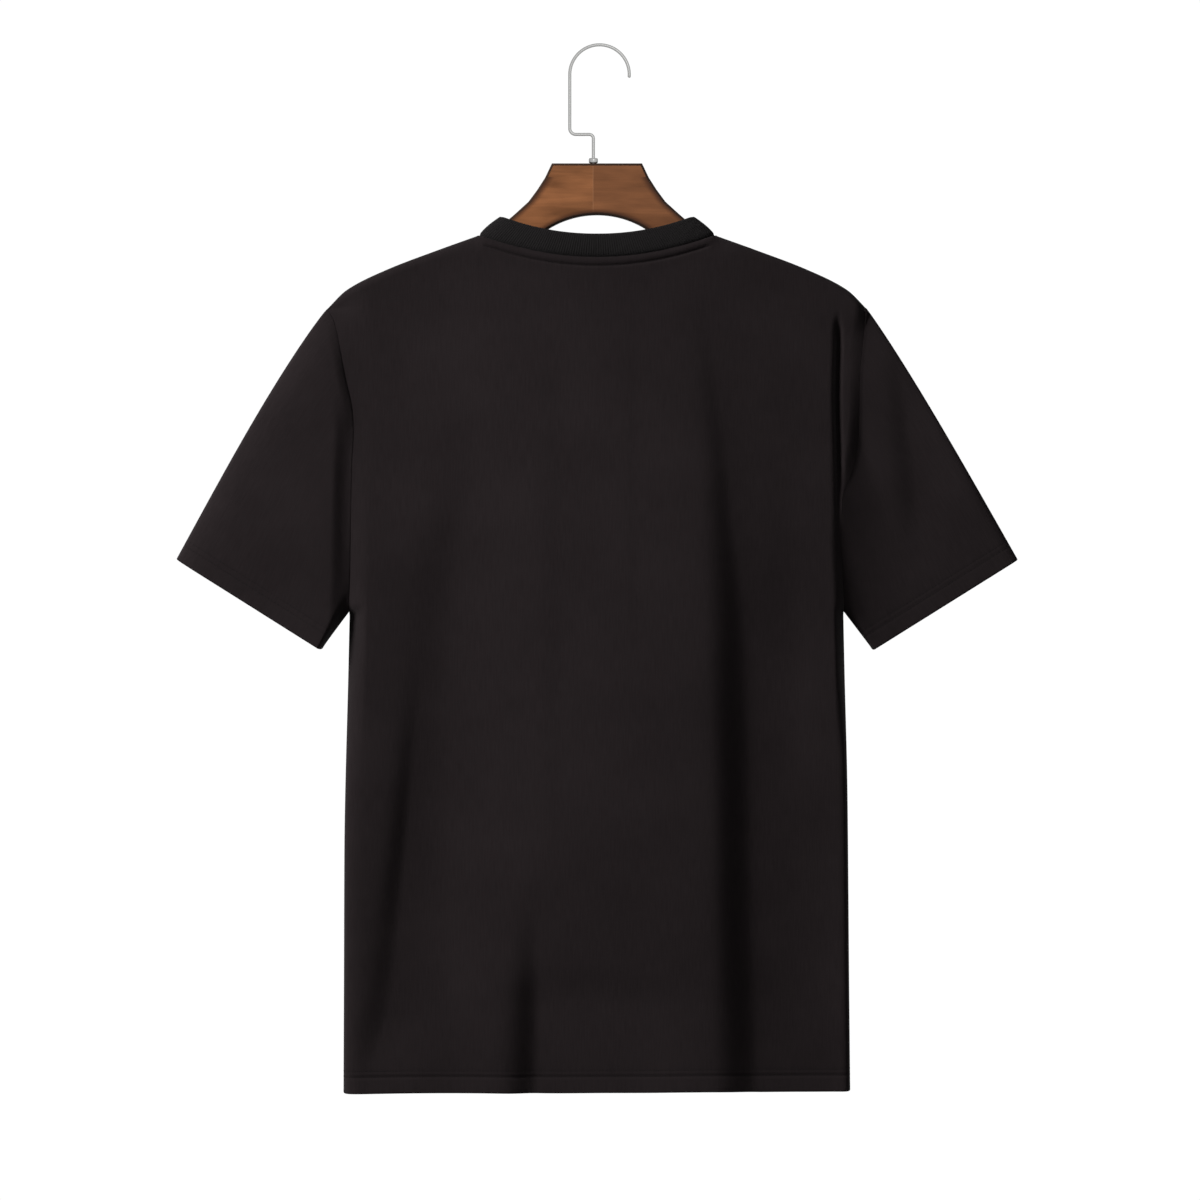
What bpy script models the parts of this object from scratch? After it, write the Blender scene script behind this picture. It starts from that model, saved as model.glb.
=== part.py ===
"""A crew neck t-shirt hanging on a wooden hanger with a wire hook.

Metres, +Z up. The shirt's back faces -Y, its front faces +Y and its sleeves reach along X.
The origin is inside the crown of the hook, where it rests on a rail.
"""

import math
from collections import namedtuple

import bmesh
import bpy
from mathutils import Vector

Point = namedtuple("Point", "x z")
Fold = namedtuple("Fold", "x_top z_top x_low z_low depth steep gentle")
Column = namedtuple("Column", "top low")
Panel = namedtuple("Panel", "name y_side drop drop_power drop_round reach folds")
Band = namedtuple("Band", "y_side drop drop_power drop_round reach")
# drop is how far a neckline dips below its tips, drop_power and drop_round shape the dip,
# and reach is how far it stands out along Y at the middle.

# Cloth
WALL = 0.0014
BAND_WALL = 0.0020
HEM_WALL = 0.0026
HEM_HEIGHT = 0.014
SEAM_GAP = 0.0003

# Body of the shirt. Outline rows are half widths, x out from the centre line.
NECK_HALF = 0.098
NECK_Z = -0.158
SHOULDER_TIP = Point(0.224, -0.218)
ARMPIT = Point(0.2045, -0.468)
HEM_Z = -0.8640
HEM_TILT = 0.006
HEM_CORNER_DROP = 0.0022
HEM_CORNER_POWER = 6
SHOULDER_LINE = [
    Point(NECK_HALF, NECK_Z),
    Point(0.132, -0.169),
    Point(0.175, -0.1855),
    Point(0.2075, -0.202),
    SHOULDER_TIP,
]
LEFT_EDGE = [
    Point(0.2100, -0.875),
    Point(0.2092, -0.760),
    Point(0.2058, -0.530),
    ARMPIT,
    Point(0.1995, -0.400),
    Point(0.1985, -0.330),
    Point(0.2070, -0.275),
    SHOULDER_TIP,
]
RIGHT_EDGE = [
    Point(0.2090, -0.875),
    Point(0.2080, -0.760),
    Point(0.2048, -0.530),
    ARMPIT,
    Point(0.2020, -0.410),
    Point(0.2100, -0.345),
    Point(0.2170, -0.275),
    SHOULDER_TIP,
]
SHOULDER_ROUND = 0.0085
SHOULDER_SQUARE = 2.5
BODY_DEPTH = 0.041
FLARE = 0.260
SIDE_ROUND = 0.040
ARMHOLE_DEPTH = 0.014
ARMHOLE_ROUND = 0.30
ARMHOLE_TURN = 0.040

# Folds run from top to low. They are steep on their left flank and gentle on their right.
BACK_FOLDS = [
    Fold(0.096, -0.215, 0.128, -0.900, 0.0120, 0.016, 0.050),
    Fold(-0.118, -0.300, -0.166, -0.900, 0.0100, 0.014, 0.034),
    Fold(-0.044, -0.660, -0.046, -0.900, 0.0085, 0.013, 0.040),
    Fold(0.186, -0.560, 0.200, -0.900, 0.0050, 0.012, 0.030),
    Fold(0.194, -0.205, 0.198, -0.430, 0.0040, 0.008, 0.014),
]
FRONT_FOLDS = [
    Fold(-0.094, -0.300, -0.112, -0.900, 0.0110, 0.018, 0.044),
    Fold(0.036, -0.520, 0.050, -0.900, 0.0090, 0.016, 0.042),
    Fold(0.128, -0.290, 0.152, -0.900, 0.0100, 0.015, 0.036),
    Fold(-0.030, -0.640, -0.022, -0.900, 0.0060, 0.014, 0.030),
]
FOLD_FADE = 0.30

BACK = Panel("back_panel", -1, 0.0175, 2.0, 1.0, 0.0140, BACK_FOLDS)
FRONT = Panel("front_panel", 1, 0.0850, 2.6, 0.85, 0.0260, FRONT_FOLDS)
NECK_SQUARE = 3.3
NECK_TIP_LIFT = 1.7
NECK_LIFT_POWER = 6

# Neck band, up from the neckline
BAND_HALF = 0.080
BAND_Z = -0.1419
BAND_BACK = Band(-1, 0.0149, 2.1, 1.0, 0.0128)
BAND_FRONT = Band(1, 0.0810, 2.6, 0.85, 0.0220)
BAND_ROLL = 0.0006

# Sleeves
CUFF_OUTER = Point(0.348, -0.424)
CUFF_INNER = Point(0.228, -0.499)
CUFF_DEPTH = 0.030
SLEEVE_CROWN = {-1: 0.0048, 1: 0.0030}
CUFF_SQUARE = 0.9
CROWN_WAY = Vector((0.86, 0.0, 0.50))
CROWN_EARLY = 0.7
RING_EVEN = 0.45
SLEEVE_ROUND = 0.026
SLEEVE_FOLDS = {
    -1: [Fold(-0.262, -0.255, -0.252, -0.420, 0.0040, 0.014, 0.026)],
    1: [Fold(0.236, -0.235, 0.258, -0.420, 0.0055, 0.012, 0.024)],
}
TIP_NORMAL = Vector((0.80, 0.0, 0.60))
TIP_ACROSS_DROP = 1.33
TIP_STRETCH = 0.25
PIT_NORMAL = Vector((0.25, 0.0, -0.97)).normalized()

# Hanger
WOOD_THICK = 0.010
WOOD_EDGE = 0.0024
WOOD_TOP_Z = -0.0972
WOOD_TOP_HALF = 0.0374
WOOD_SHOULDER = [
    Point(WOOD_TOP_HALF, WOOD_TOP_Z),
    Point(0.0430, -0.1090),
    Point(0.0494, -0.1190),
    Point(0.0568, -0.1290),
    Point(0.0680, -0.1392),
    Point(0.0800, -0.1495),
    Point(0.0900, -0.1583),
    Point(0.0990, -0.1650),
]
WOOD_ARM_AT = [0.132, 0.160, 0.184]
# The cloth on the sloping arms measured upright, and the room left under it
WALL_UPRIGHT = WALL * 1.08
WOOD_CLEARANCE = 0.0009
ARCH_Z = -0.1400
ARCH_RADIUS = 0.076
ARCH_TO = 0.055
ARCH_STEPS = 9
WOOD_ARM_LOW = [Point(0.0900, -0.1870), Point(0.1450, -0.2060)]
WOOD_TIP = Point(0.1880, -0.2085)
WOOD_TIP_RADIUS = 0.0125
WOOD_TIP_STEPS = 5
WOOD_TIP_FROM = math.radians(60.0)
WOOD_TIP_TO = math.radians(-90.0)
BORE_DEPTH = 0.026
BORE_CLEARANCE = 0.0003

# Hook
WIRE = 0.0026
CROWN_X = 0.0021
CROWN_RADIUS = 0.0247
CROWN_END = -4.0
JOG_Z = -0.0730
LEG_BEND = 0.0050
STEM_BEND = 0.0034
STEM_X = -0.0030
STEM_IN_WOOD = 0.022
FERRULE_RADIUS = 0.0038
FERRULE_HEIGHT = 0.0042

# Grid of a panel: columns out from the centre line, close together at the neck point on
# the top edge and even at the hem, and rows up from the hem
COLUMNS = [
    Column(0.0, 0.0),
    Column(0.0300, 0.0190),
    Column(0.0555, 0.0380),
    Column(0.0760, 0.0560),
    Column(0.0900, 0.0730),
    Column(NECK_HALF - 0.0025, 0.0890),
    Column(NECK_HALF - 0.0004, 0.1040),
    Column(NECK_HALF, 0.1180),
    Column(0.1040, 0.1320),
    Column(0.1320, 0.1460),
    Column(0.1600, 0.1600),
    Column(0.1840, 0.1740),
    Column(0.2030, 0.1870),
    Column(0.2155, 0.1975),
    Column(0.2218, 0.2050),
    Column(SHOULDER_TIP.x, 0.2090),
]
NECK_COLUMN = 7
COLUMNS_EVEN_AT = 0.78
COLUMNS_TURN = 0.19
HEM_STEP = 0.0010
BODY_ROWS = 9
ARM_ROWS = 8
TIP_ROWS = [0.0160, 0.0090, 0.0050, 0.0024, 0.0008]
SLEEVE_RINGS = 8
BAND_RINGS = [0.0, 0.35, 0.72, 1.0]

COLOURS = {
    "cloth": ((0.020, 0.017, 0.018), 0.85, 0.0),
    "rib": ((0.018, 0.016, 0.017), 0.90, 0.0),
    "wood": ((0.200, 0.085, 0.040), 0.42, 0.0),
    "wire": ((0.560, 0.560, 0.550), 0.28, 1.0),
}


def smooth(value):
    """A soft step from 0 to 1."""
    value = min(max(value, 0.0), 1.0)
    return value * value * (3.0 - 2.0 * value)


def curve(rows, at):
    """A smooth curve through rows of (position, value) in rising order, with no overshoot."""
    at = min(max(at, rows[0][0]), rows[-1][0])
    secants = []
    for low, high in zip(rows, rows[1:]):
        secants.append((high[1] - low[1]) / (high[0] - low[0]))
    slopes = [secants[0]]
    for before, after in zip(secants, secants[1:]):
        same_way = before * after > 0.0
        slopes.append(2.0 * before * after / (before + after) if same_way else 0.0)
    slopes.append(secants[-1])
    index = 0
    while index < len(rows) - 2 and at > rows[index + 1][0]:
        index += 1
    span = rows[index + 1][0] - rows[index][0]
    part = (at - rows[index][0]) / span
    rise = rows[index + 1][1] - rows[index][1]
    start = slopes[index] * span
    end = slopes[index + 1] * span
    return (rows[index][1] + part * start + part ** 2 * (3.0 * rise - 2.0 * start - end)
            + part ** 3 * (start + end - 2.0 * rise))


def by_height(points):
    """Outline rows as (z, x), for reading a half width at a height."""
    return [(point.z, point.x) for point in points]


EDGES = {-1: by_height(LEFT_EDGE), 1: by_height(RIGHT_EDGE)}


def hem_z(x):
    """The hem's height, which tilts a little and drops at its corners."""
    corner = abs(x / COLUMNS[-1].low) ** HEM_CORNER_POWER
    return HEM_Z + HEM_TILT * x - HEM_CORNER_DROP * corner


def neckline(x, half, z, shape):
    """Height of a neckline at x, from its half width, tip height and shape."""
    inside = 1.0 - abs(x / half) ** shape.drop_power
    return z - shape.drop * max(inside, 0.0) ** shape.drop_round


def neck_reach(x, half, shape):
    """How far a neckline stands out along Y, in plan."""
    inside = max(1.0 - abs(x / half) ** NECK_SQUARE, 0.0)
    return shape.reach * inside ** (1.0 / NECK_SQUARE)


def top_z(x, panel):
    """Height of a panel's top edge: neckline inside, shoulder line outside."""
    if abs(x) < NECK_HALF:
        return neckline(x, NECK_HALF, NECK_Z, panel)
    return curve(SHOULDER_LINE, abs(x))


def fold_depth(folds, x, z):
    """How far the folds push the cloth in at a point."""
    total = 0.0
    for fold in folds:
        part = (fold.z_top - z) / (fold.z_top - fold.z_low)
        if not 0.0 < part < 1.0:
            continue
        off = x - (fold.x_top + (fold.x_low - fold.x_top) * part)
        width = fold.steep if off < 0.0 else fold.gentle
        total += fold.depth * smooth(part / FOLD_FADE) * math.exp(-(off / width) ** 2)
    return total


def armhole_bow(z):
    """The armhole's depth either side of Y = 0, as half an ellipse from tip to armpit."""
    part = (SHOULDER_TIP.z - z) / (SHOULDER_TIP.z - ARMPIT.z)
    if part >= 1.0:
        return 0.0
    return 2.0 * ARMHOLE_DEPTH * math.sqrt(max(part * (1.0 - part), 0.0))


def panel_depth(panel, x, z, half_width):
    """How far a panel's outer face stands from the plane of the seams."""
    below = max(top_z(x, panel) - z, 0.0)
    reach = neck_reach(x, NECK_HALF, panel)
    full = max(reach, SHOULDER_ROUND)
    turn = 1.0 - min(below / SHOULDER_ROUND, 1.0)
    roll = (1.0 - turn ** SHOULDER_SQUARE) ** (1.0 / SHOULDER_SQUARE)
    depth = reach + (full - reach) * roll
    depth += (BODY_DEPTH - full) * smooth(below / FLARE)
    depth -= fold_depth(panel.folds, x, z)
    edge = armhole_bow(z)
    part = min((half_width - abs(x)) / SIDE_ROUND, 1.0)
    round_side = math.sqrt(1.0 - (1.0 - part) ** 2)
    soft_side = math.sin(0.5 * math.pi * part)
    in_armhole = smooth((z - ARMPIT.z) / ARMHOLE_TURN)
    blend = 1.0 + (ARMHOLE_ROUND - 1.0) * in_armhole
    return edge + (depth - edge) * (soft_side + (round_side - soft_side) * blend)


def edge_heights():
    """Heights of a panel's rows at its side edges, from above the hem up to the tip."""
    heights = []
    for step in range(1, BODY_ROWS + 1):
        from_z = HEM_Z + HEM_HEIGHT
        heights.append(from_z + (ARMPIT.z - from_z) * step / BODY_ROWS)
    last = SHOULDER_TIP.z - TIP_ROWS[0]
    for step in range(1, ARM_ROWS + 1):
        heights.append(ARMPIT.z + (last - ARMPIT.z) * step / ARM_ROWS)
    for below in TIP_ROWS[1:]:
        heights.append(SHOULDER_TIP.z - below)
    heights.append(SHOULDER_TIP.z)
    return heights


HEM_ROWS = [0.0, HEM_HEIGHT, HEM_HEIGHT + HEM_STEP]
ROW_HEIGHTS = edge_heights()
ARM_HEIGHTS = ROW_HEIGHTS[BODY_ROWS - 1:]


def column_shares(up):
    """Columns as shares of a row's half width, left to right, at a share of the height."""
    turn = smooth((up - COLUMNS_EVEN_AT) / COLUMNS_TURN)
    right = []
    for column in COLUMNS:
        top = column.top / SHOULDER_TIP.x
        low = column.low / COLUMNS[-1].low
        right.append(low + (top - low) * turn)
    return [-share for share in reversed(right[1:])] + right


def row_ends():
    """For each row of a panel, its share of the height and half width on both sides."""
    rows = []
    for height in HEM_ROWS:
        up = height / (NECK_Z - HEM_Z)
        rows.append({side: (up, curve(EDGES[side], HEM_Z + height)) for side in (-1, 1)})
    for height in ROW_HEIGHTS:
        ends = {}
        for side in (-1, 1):
            half_width = curve(EDGES[side], height)
            low = hem_z(side * half_width)
            up = (height - low) / (top_z(half_width, BACK) - low)
            ends[side] = (up, half_width)
        rows.append(ends)
    return rows


def panel_rows(panel):
    """Outer points of a panel, row by row from the hem up."""
    rows = []
    for ends in row_ends():
        row = []
        shares = column_shares(0.5 * (ends[-1][0] + ends[1][0]))
        for share in shares:
            side = -1 if share < 0.0 else 1
            half_width = ends[side][1]
            x = share * half_width
            mix = 0.5 * (share + 1.0)
            up = ends[-1][0] * (1.0 - mix) + ends[1][0] * mix
            z = hem_z(x) + up * (top_z(x, panel) - hem_z(x))
            depth = panel_depth(panel, x, z, half_width)
            row.append(Vector((x, panel.y_side * (0.5 * SEAM_GAP + depth), z)))
        rows.append(row)
    return rows


def surface_normals(rows, closed=False, outward=None):
    """Unit normals of a grid of points, by the slopes to the neighbours."""
    count = len(rows[0])
    normals = []
    for r, row in enumerate(rows):
        line = []
        for c in range(count):
            up = rows[min(r + 1, len(rows) - 1)][c] - rows[max(r - 1, 0)][c]
            if closed:
                across = row[(c + 1) % count] - row[c - 1]
            else:
                across = row[min(c + 1, count - 1)] - row[max(c - 1, 0)]
            normal = across.cross(up)
            if outward is not None and normal.dot(outward(row[c])) < 0.0:
                normal.negate()
            line.append(normal.normalized())
        normals.append(line)
    return normals


def armhole_frame(side, z, y_side):
    """An armhole seam's point, wall direction and direction across the seam."""
    x = curve(EDGES[side], z)
    part = (SHOULDER_TIP.z - z) / (SHOULDER_TIP.z - ARMPIT.z)
    part = min(max(part, 0.0), 1.0)
    bow = armhole_bow(z)
    half_length = 0.5 * (SHOULDER_TIP.z - ARMPIT.z)
    lengthwise = (1.0 - 2.0 * part) / half_length
    deep = bow / ARMHOLE_DEPTH ** 2
    end = TIP_NORMAL * lengthwise if part < 0.5 else PIT_NORMAL * -lengthwise
    normal = (end + Vector((0.0, y_side * deep, 0.0))).normalized()
    near_tip = max(1.0 - part / TIP_STRETCH, 0.0)
    across = Vector((1.0, 0.0, -TIP_ACROSS_DROP * near_tip)).normalized()
    point = Vector((x, y_side * bow, z))
    flip = Vector((side, 1.0, 1.0))
    return point * flip, normal * flip, across * flip


def neck_normal(x, half, y_side, shape):
    """Direction of the wall at a neckline: out in plan, and up towards the neck points."""
    share = min(abs(x / half), 1.0)
    out_x = math.copysign(share ** (NECK_SQUARE - 1.0) / half, x)
    reach_share = neck_reach(x, half, shape) / shape.reach
    out_y = y_side * reach_share ** (NECK_SQUARE - 1.0) / shape.reach
    plan = Vector((out_x, out_y, 0.0)).normalized()
    lift = NECK_TIP_LIFT * plan.x ** NECK_LIFT_POWER
    return Vector((plan.x, plan.y, lift)).normalized()


def new_object(name, mesh_maker, material):
    """An object made by filling a bmesh, with closed outward faces."""
    mesh = bpy.data.meshes.new(name)
    work = bmesh.new()
    mesh_maker(work)
    bmesh.ops.recalc_face_normals(work, faces=work.faces)
    work.to_mesh(mesh)
    work.free()
    mesh.shade_smooth()
    mesh.set_sharp_from_angle(angle=math.radians(40))
    item = bpy.data.objects.new(name, mesh)
    bpy.context.scene.collection.objects.link(item)
    mesh.materials.append(material)
    return item


def split_quad(work, corners, first_way):
    """Two triangles for a quad, cut from its first corner or from its second."""
    a, b, c, d = corners
    if first_way:
        work.faces.new((a, b, c))
        work.faces.new((a, c, d))
    else:
        work.faces.new((b, c, d))
        work.faces.new((b, d, a))


def split_rim(work, low_out, high_out, high_in, low_in):
    """A rim's quad, cut from its higher outer corner, so that two pieces match at a seam."""
    corners = (low_out, high_out, high_in, low_in)
    split_quad(work, corners, low_out.co.z >= high_out.co.z)


def wall(name, outer, inner, material, closed=False):
    """A closed cloth wall between a grid of outer points and its inner points."""
    def fill(work):
        count = len(outer[0])
        sheets = []
        for grid in (outer, inner):
            sheets.append([[work.verts.new(point) for point in row] for row in grid])
        out, back = sheets
        columns = range(count if closed else count - 1)
        for r in range(len(outer) - 1):
            for c in columns:
                d = (c + 1) % count
                across = (out[r][c].co - out[r + 1][d].co).length
                other = (out[r][d].co - out[r + 1][c].co).length
                for grid in sheets:
                    corners = (grid[r][c], grid[r][d], grid[r + 1][d], grid[r + 1][c])
                    split_quad(work, corners, across <= other)
        for r in (0, len(outer) - 1):
            for c in columns:
                d = (c + 1) % count
                split_rim(work, out[r][d], out[r][c], back[r][c], back[r][d])
        if not closed:
            for r in range(len(outer) - 1):
                for c in (0, count - 1):
                    split_rim(work, out[r][c], out[r + 1][c], back[r + 1][c], back[r][c])
    return new_object(name, fill, material)


def make_panel(panel, material):
    """The back or the front, cut from one piece of cloth, with its hem turned up."""
    outer = panel_rows(panel)
    toward = Vector((0.0, panel.y_side, 0.0))
    normals = surface_normals(outer, outward=lambda point: toward)
    for r, row in enumerate(outer):
        arm_row = r - len(HEM_ROWS)
        for c, side in ((0, -1), (len(row) - 1, 1)):
            if arm_row >= 0 and ROW_HEIGHTS[arm_row] >= ARMPIT.z:
                point, normal, across = armhole_frame(side, ROW_HEIGHTS[arm_row], panel.y_side)
                seam = Vector((0.0, panel.y_side * 0.5 * SEAM_GAP, 0.0))
                row[c] = point + seam - across * 0.5 * SEAM_GAP
                normals[r][c] = normal
            else:
                normals[r][c] = Vector((side, 0.0, 0.0))
    top = normals[-1]
    centre = len(COLUMNS) - 1
    for c in range(1, len(top) - 1):
        if abs(c - centre) <= NECK_COLUMN:
            top[c] = neck_normal(outer[-1][c].x, NECK_HALF, panel.y_side, panel)
        else:
            top[c] = Vector((top[c].x, 0.0, top[c].z)).normalized()
    inner = []
    for r, row in enumerate(outer):
        thick = HEM_WALL if r < len(HEM_ROWS) - 1 else WALL
        line = [point - normal * thick for point, normal in zip(row, normals[r])]
        for point in line:
            # The inner face keeps to its own side of the seam plane
            point.y = panel.y_side * max(panel.y_side * point.y, 0.5 * SEAM_GAP)
        inner.append(line)
    return wall(panel.name, outer, inner, material)


def sleeve_ring_places():
    """Places round a sleeve as (height at the armhole, side of the seam plane)."""
    back = [(height, -1) for height in reversed(ARM_HEIGHTS)]
    front = [(height, 1) for height in ARM_HEIGHTS[1:-1]]
    return back + front


def make_sleeve(name, side, material):
    """A sleeve: a tube from the armhole to the cuff, with its hem turned up."""
    flip = Vector((side, 1.0, 1.0))
    outer_corner = Vector((CUFF_OUTER.x, 0.0, CUFF_OUTER.z)) * flip
    inner_corner = Vector((CUFF_INNER.x, 0.0, CUFF_INNER.z)) * flip
    crown = CROWN_WAY * flip
    places = sleeve_ring_places()
    arm_count = len(ARM_HEIGHTS) - 1
    paths = []
    for place, (height, y_side) in enumerate(places):
        start, normal, across = armhole_frame(side, height, y_side)
        start = start + across * 0.5 * SEAM_GAP
        index = place if place <= arm_count else 2 * arm_count - place
        length_share = (SHOULDER_TIP.z - height) / (SHOULDER_TIP.z - ARMPIT.z)
        evenly = index / arm_count
        turn = math.pi * (length_share + RING_EVEN * (evenly - length_share))
        along = 0.5 * (1.0 - math.cos(turn))
        end = outer_corner.lerp(inner_corner, along)
        end.y = y_side * CUFF_DEPTH * math.sin(turn) ** CUFF_SQUARE
        paths.append((start, end, normal, along, y_side))
    outer = []
    above_hem = [(step / SLEEVE_RINGS, HEM_HEIGHT + HEM_STEP) for step in range(SLEEVE_RINGS + 1)]
    for step, short_of_cuff in above_hem + [(1.0, HEM_HEIGHT), (1.0, 0.0)]:
        ring = []
        for start, end, normal, along, y_side in paths:
            run = math.hypot(end.x - start.x, end.z - start.z)
            share = step * (1.0 - short_of_cuff / run)
            point = start.lerp(end, share)
            lift = SLEEVE_CROWN[side] * math.sin(math.pi * share ** CROWN_EARLY)
            lift *= max(1.0 - 2.0 * along, 0.0) ** 2
            point += crown * lift
            opened = math.sin(0.5 * math.pi * min(share * run / SLEEVE_ROUND, 1.0))
            depth = abs(start.y) + (abs(end.y) - abs(start.y)) * opened
            inward = fold_depth(SLEEVE_FOLDS[side], point.x, point.z)
            point.y = y_side * max(depth - inward * depth / CUFF_DEPTH, 0.0)
            ring.append(point)
        outer.append(ring)
    centre = 0.5 * (outer_corner + inner_corner)
    middle = 0.5 * (Vector((SHOULDER_TIP.x, 0, SHOULDER_TIP.z)) + Vector((ARMPIT.x, 0, ARMPIT.z)))
    middle = middle * flip
    axis = (centre - middle).normalized()

    def outward(point):
        return point - (middle + axis * (point - middle).dot(axis))

    normals = surface_normals(outer, closed=True, outward=outward)
    for c, path in enumerate(paths):
        normals[0][c] = path[2]
    inner = []
    for r, ring in enumerate(outer):
        thick = HEM_WALL if r >= len(outer) - 2 else WALL
        inner.append([point - normal * thick for point, normal in zip(ring, normals[r])])
    return wall(name, outer, inner, material, closed=True)


def make_band(material):
    """The rib neck band: a ring that leans in from the neckline to its folded top edge."""
    right = [column.top for column in COLUMNS[:NECK_COLUMN + 1]]
    xs = [-x for x in reversed(right[1:])] + right
    around = [(x, BACK, BAND_BACK) for x in xs]
    around += [(x, FRONT, BAND_FRONT) for x in reversed(xs[1:-1])]
    outer = [[] for _ in BAND_RINGS]
    inner = [[] for _ in BAND_RINGS]
    for x, panel, band in around:
        y_side = panel.y_side
        low = Vector((x, y_side * neck_reach(x, NECK_HALF, panel), top_z(x, panel)))
        high_x = x * BAND_HALF / NECK_HALF
        high = Vector((high_x, y_side * neck_reach(high_x, BAND_HALF, band),
                       neckline(high_x, BAND_HALF, BAND_Z, band)))
        low += (high - low).normalized() * SEAM_GAP
        low_normal = neck_normal(x, NECK_HALF, y_side, panel)
        high_normal = neck_normal(high_x, BAND_HALF, y_side, band)
        for index, share in enumerate(BAND_RINGS):
            normal = low_normal.lerp(high_normal, share).normalized()
            roll = BAND_ROLL * math.sin(math.pi * share)
            point = low.lerp(high, share) + normal * roll
            outer[index].append(point)
            thick = WALL if index == 0 else BAND_WALL + roll
            inner[index].append(point - normal * thick)
    return wall("neck_band", outer, inner, material, closed=True)


def wood_half_outline():
    """The right half of the hanger's outline, from the middle of its top round to the arch."""
    clearance = WALL_UPRIGHT + WOOD_CLEARANCE
    points = list(WOOD_SHOULDER)
    for x in WOOD_ARM_AT:
        points.append(Point(x, curve(SHOULDER_LINE, x) - clearance))
    for step in range(WOOD_TIP_STEPS + 1):
        turn = WOOD_TIP_FROM + (WOOD_TIP_TO - WOOD_TIP_FROM) * step / WOOD_TIP_STEPS
        points.append(Point(WOOD_TIP.x + WOOD_TIP_RADIUS * math.cos(turn),
                            WOOD_TIP.z + WOOD_TIP_RADIUS * math.sin(turn)))
    points += list(reversed(WOOD_ARM_LOW))
    for step in range(ARCH_STEPS):
        x = ARCH_TO * (ARCH_STEPS - 1 - step) / (ARCH_STEPS - 1)
        sag = ARCH_RADIUS - math.sqrt(ARCH_RADIUS ** 2 - x ** 2)
        points.append(Point(x, ARCH_Z - sag))
    return points


def make_hanger(material):
    """The flat wooden hanger, with softened edges and a bore for the hook's stem."""
    right = wood_half_outline()
    left = [Point(-point.x, point.z) for point in reversed(right[:-1])]
    outline = right + left

    def fill(work):
        half = 0.5 * WOOD_THICK
        corners = [work.verts.new((point.x, -half, point.z)) for point in outline]
        face = work.faces.new(corners)
        grown = bmesh.ops.extrude_face_region(work, geom=[face])
        moved = [item for item in grown["geom"] if isinstance(item, bmesh.types.BMVert)]
        bmesh.ops.translate(work, verts=moved, vec=(0.0, WOOD_THICK, 0.0))
        rims = [edge for edge in work.edges
                if abs(edge.verts[0].co.y - edge.verts[1].co.y) < 0.001]
        bmesh.ops.bevel(work, geom=rims, offset=WOOD_EDGE, segments=2, profile=0.5,
                        affect="EDGES", clamp_overlap=True)

    item = new_object("hanger_wood", fill, material)
    cutter = cylinder("stem_bore", 0.5 * WIRE + BORE_CLEARANCE,
                      WOOD_TOP_Z - BORE_DEPTH, WOOD_TOP_Z + BORE_DEPTH, material)
    cutter.hide_render = True
    cutter.display_type = "WIRE"
    bore = item.modifiers.new("bore", "BOOLEAN")
    bore.operation = "DIFFERENCE"
    bore.object = cutter
    return item


def cylinder(name, radius, low_z, high_z, material, sides=12):
    """An upright cylinder on the stem's axis."""
    def fill(work):
        bmesh.ops.create_cone(work, cap_ends=True, segments=sides, radius1=radius,
                              radius2=radius, depth=high_z - low_z)
        middle = Vector((STEM_X, 0.0, 0.5 * (low_z + high_z)))
        bmesh.ops.translate(work, verts=work.verts, vec=middle)
    return new_object(name, fill, material)


def arc(centre_x, centre_z, radius, from_degrees, to_degrees, steps):
    """Points of an arc in the plane of the hook."""
    points = []
    for step in range(steps + 1):
        turn = math.radians(from_degrees + (to_degrees - from_degrees) * step / steps)
        points.append((centre_x + radius * math.cos(turn), 0.0, centre_z + radius * math.sin(turn)))
    return points


def hook_route():
    """The wire's centre line: open crown, straight leg, jog to the middle and stem."""
    inner = CROWN_RADIUS - 0.5 * WIRE
    crown_z = -math.sqrt(inner ** 2 - CROWN_X ** 2)
    leg_x = CROWN_X - CROWN_RADIUS
    points = arc(CROWN_X, crown_z, CROWN_RADIUS, CROWN_END, 180.0, 26)
    points += arc(leg_x + LEG_BEND, JOG_Z + LEG_BEND, LEG_BEND, 180.0, 270.0, 5)
    points += arc(STEM_X - STEM_BEND, JOG_Z - STEM_BEND, STEM_BEND, 90.0, 0.0, 5)
    points.append((STEM_X, 0.0, WOOD_TOP_Z - STEM_IN_WOOD))
    return points


def make_hook(material):
    """The hook, bent from one piece of wire."""
    route = hook_route()
    line = bpy.data.curves.new("hanger_hook", "CURVE")
    line.dimensions = "3D"
    line.bevel_depth = 0.5 * WIRE
    line.bevel_resolution = 2
    line.use_fill_caps = True
    spline = line.splines.new("POLY")
    spline.points.add(len(route) - 1)
    for point, place in zip(spline.points, route):
        point.co = (*place, 1.0)
    line.materials.append(material)
    item = bpy.data.objects.new("hanger_hook", line)
    bpy.context.scene.collection.objects.link(item)
    return item


def make_ferrule(material):
    """The small collar round the stem, on top of the wood."""
    low = WOOD_TOP_Z + SEAM_GAP
    item = cylinder("hook_ferrule", FERRULE_RADIUS, low, low + FERRULE_HEIGHT, material, 20)
    cutter = cylinder("ferrule_bore", 0.5 * WIRE + BORE_CLEARANCE,
                      low - FERRULE_HEIGHT, low + 2.0 * FERRULE_HEIGHT, material)
    cutter.hide_render = True
    cutter.display_type = "WIRE"
    bore = item.modifiers.new("bore", "BOOLEAN")
    bore.operation = "DIFFERENCE"
    bore.object = cutter
    return item


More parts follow.
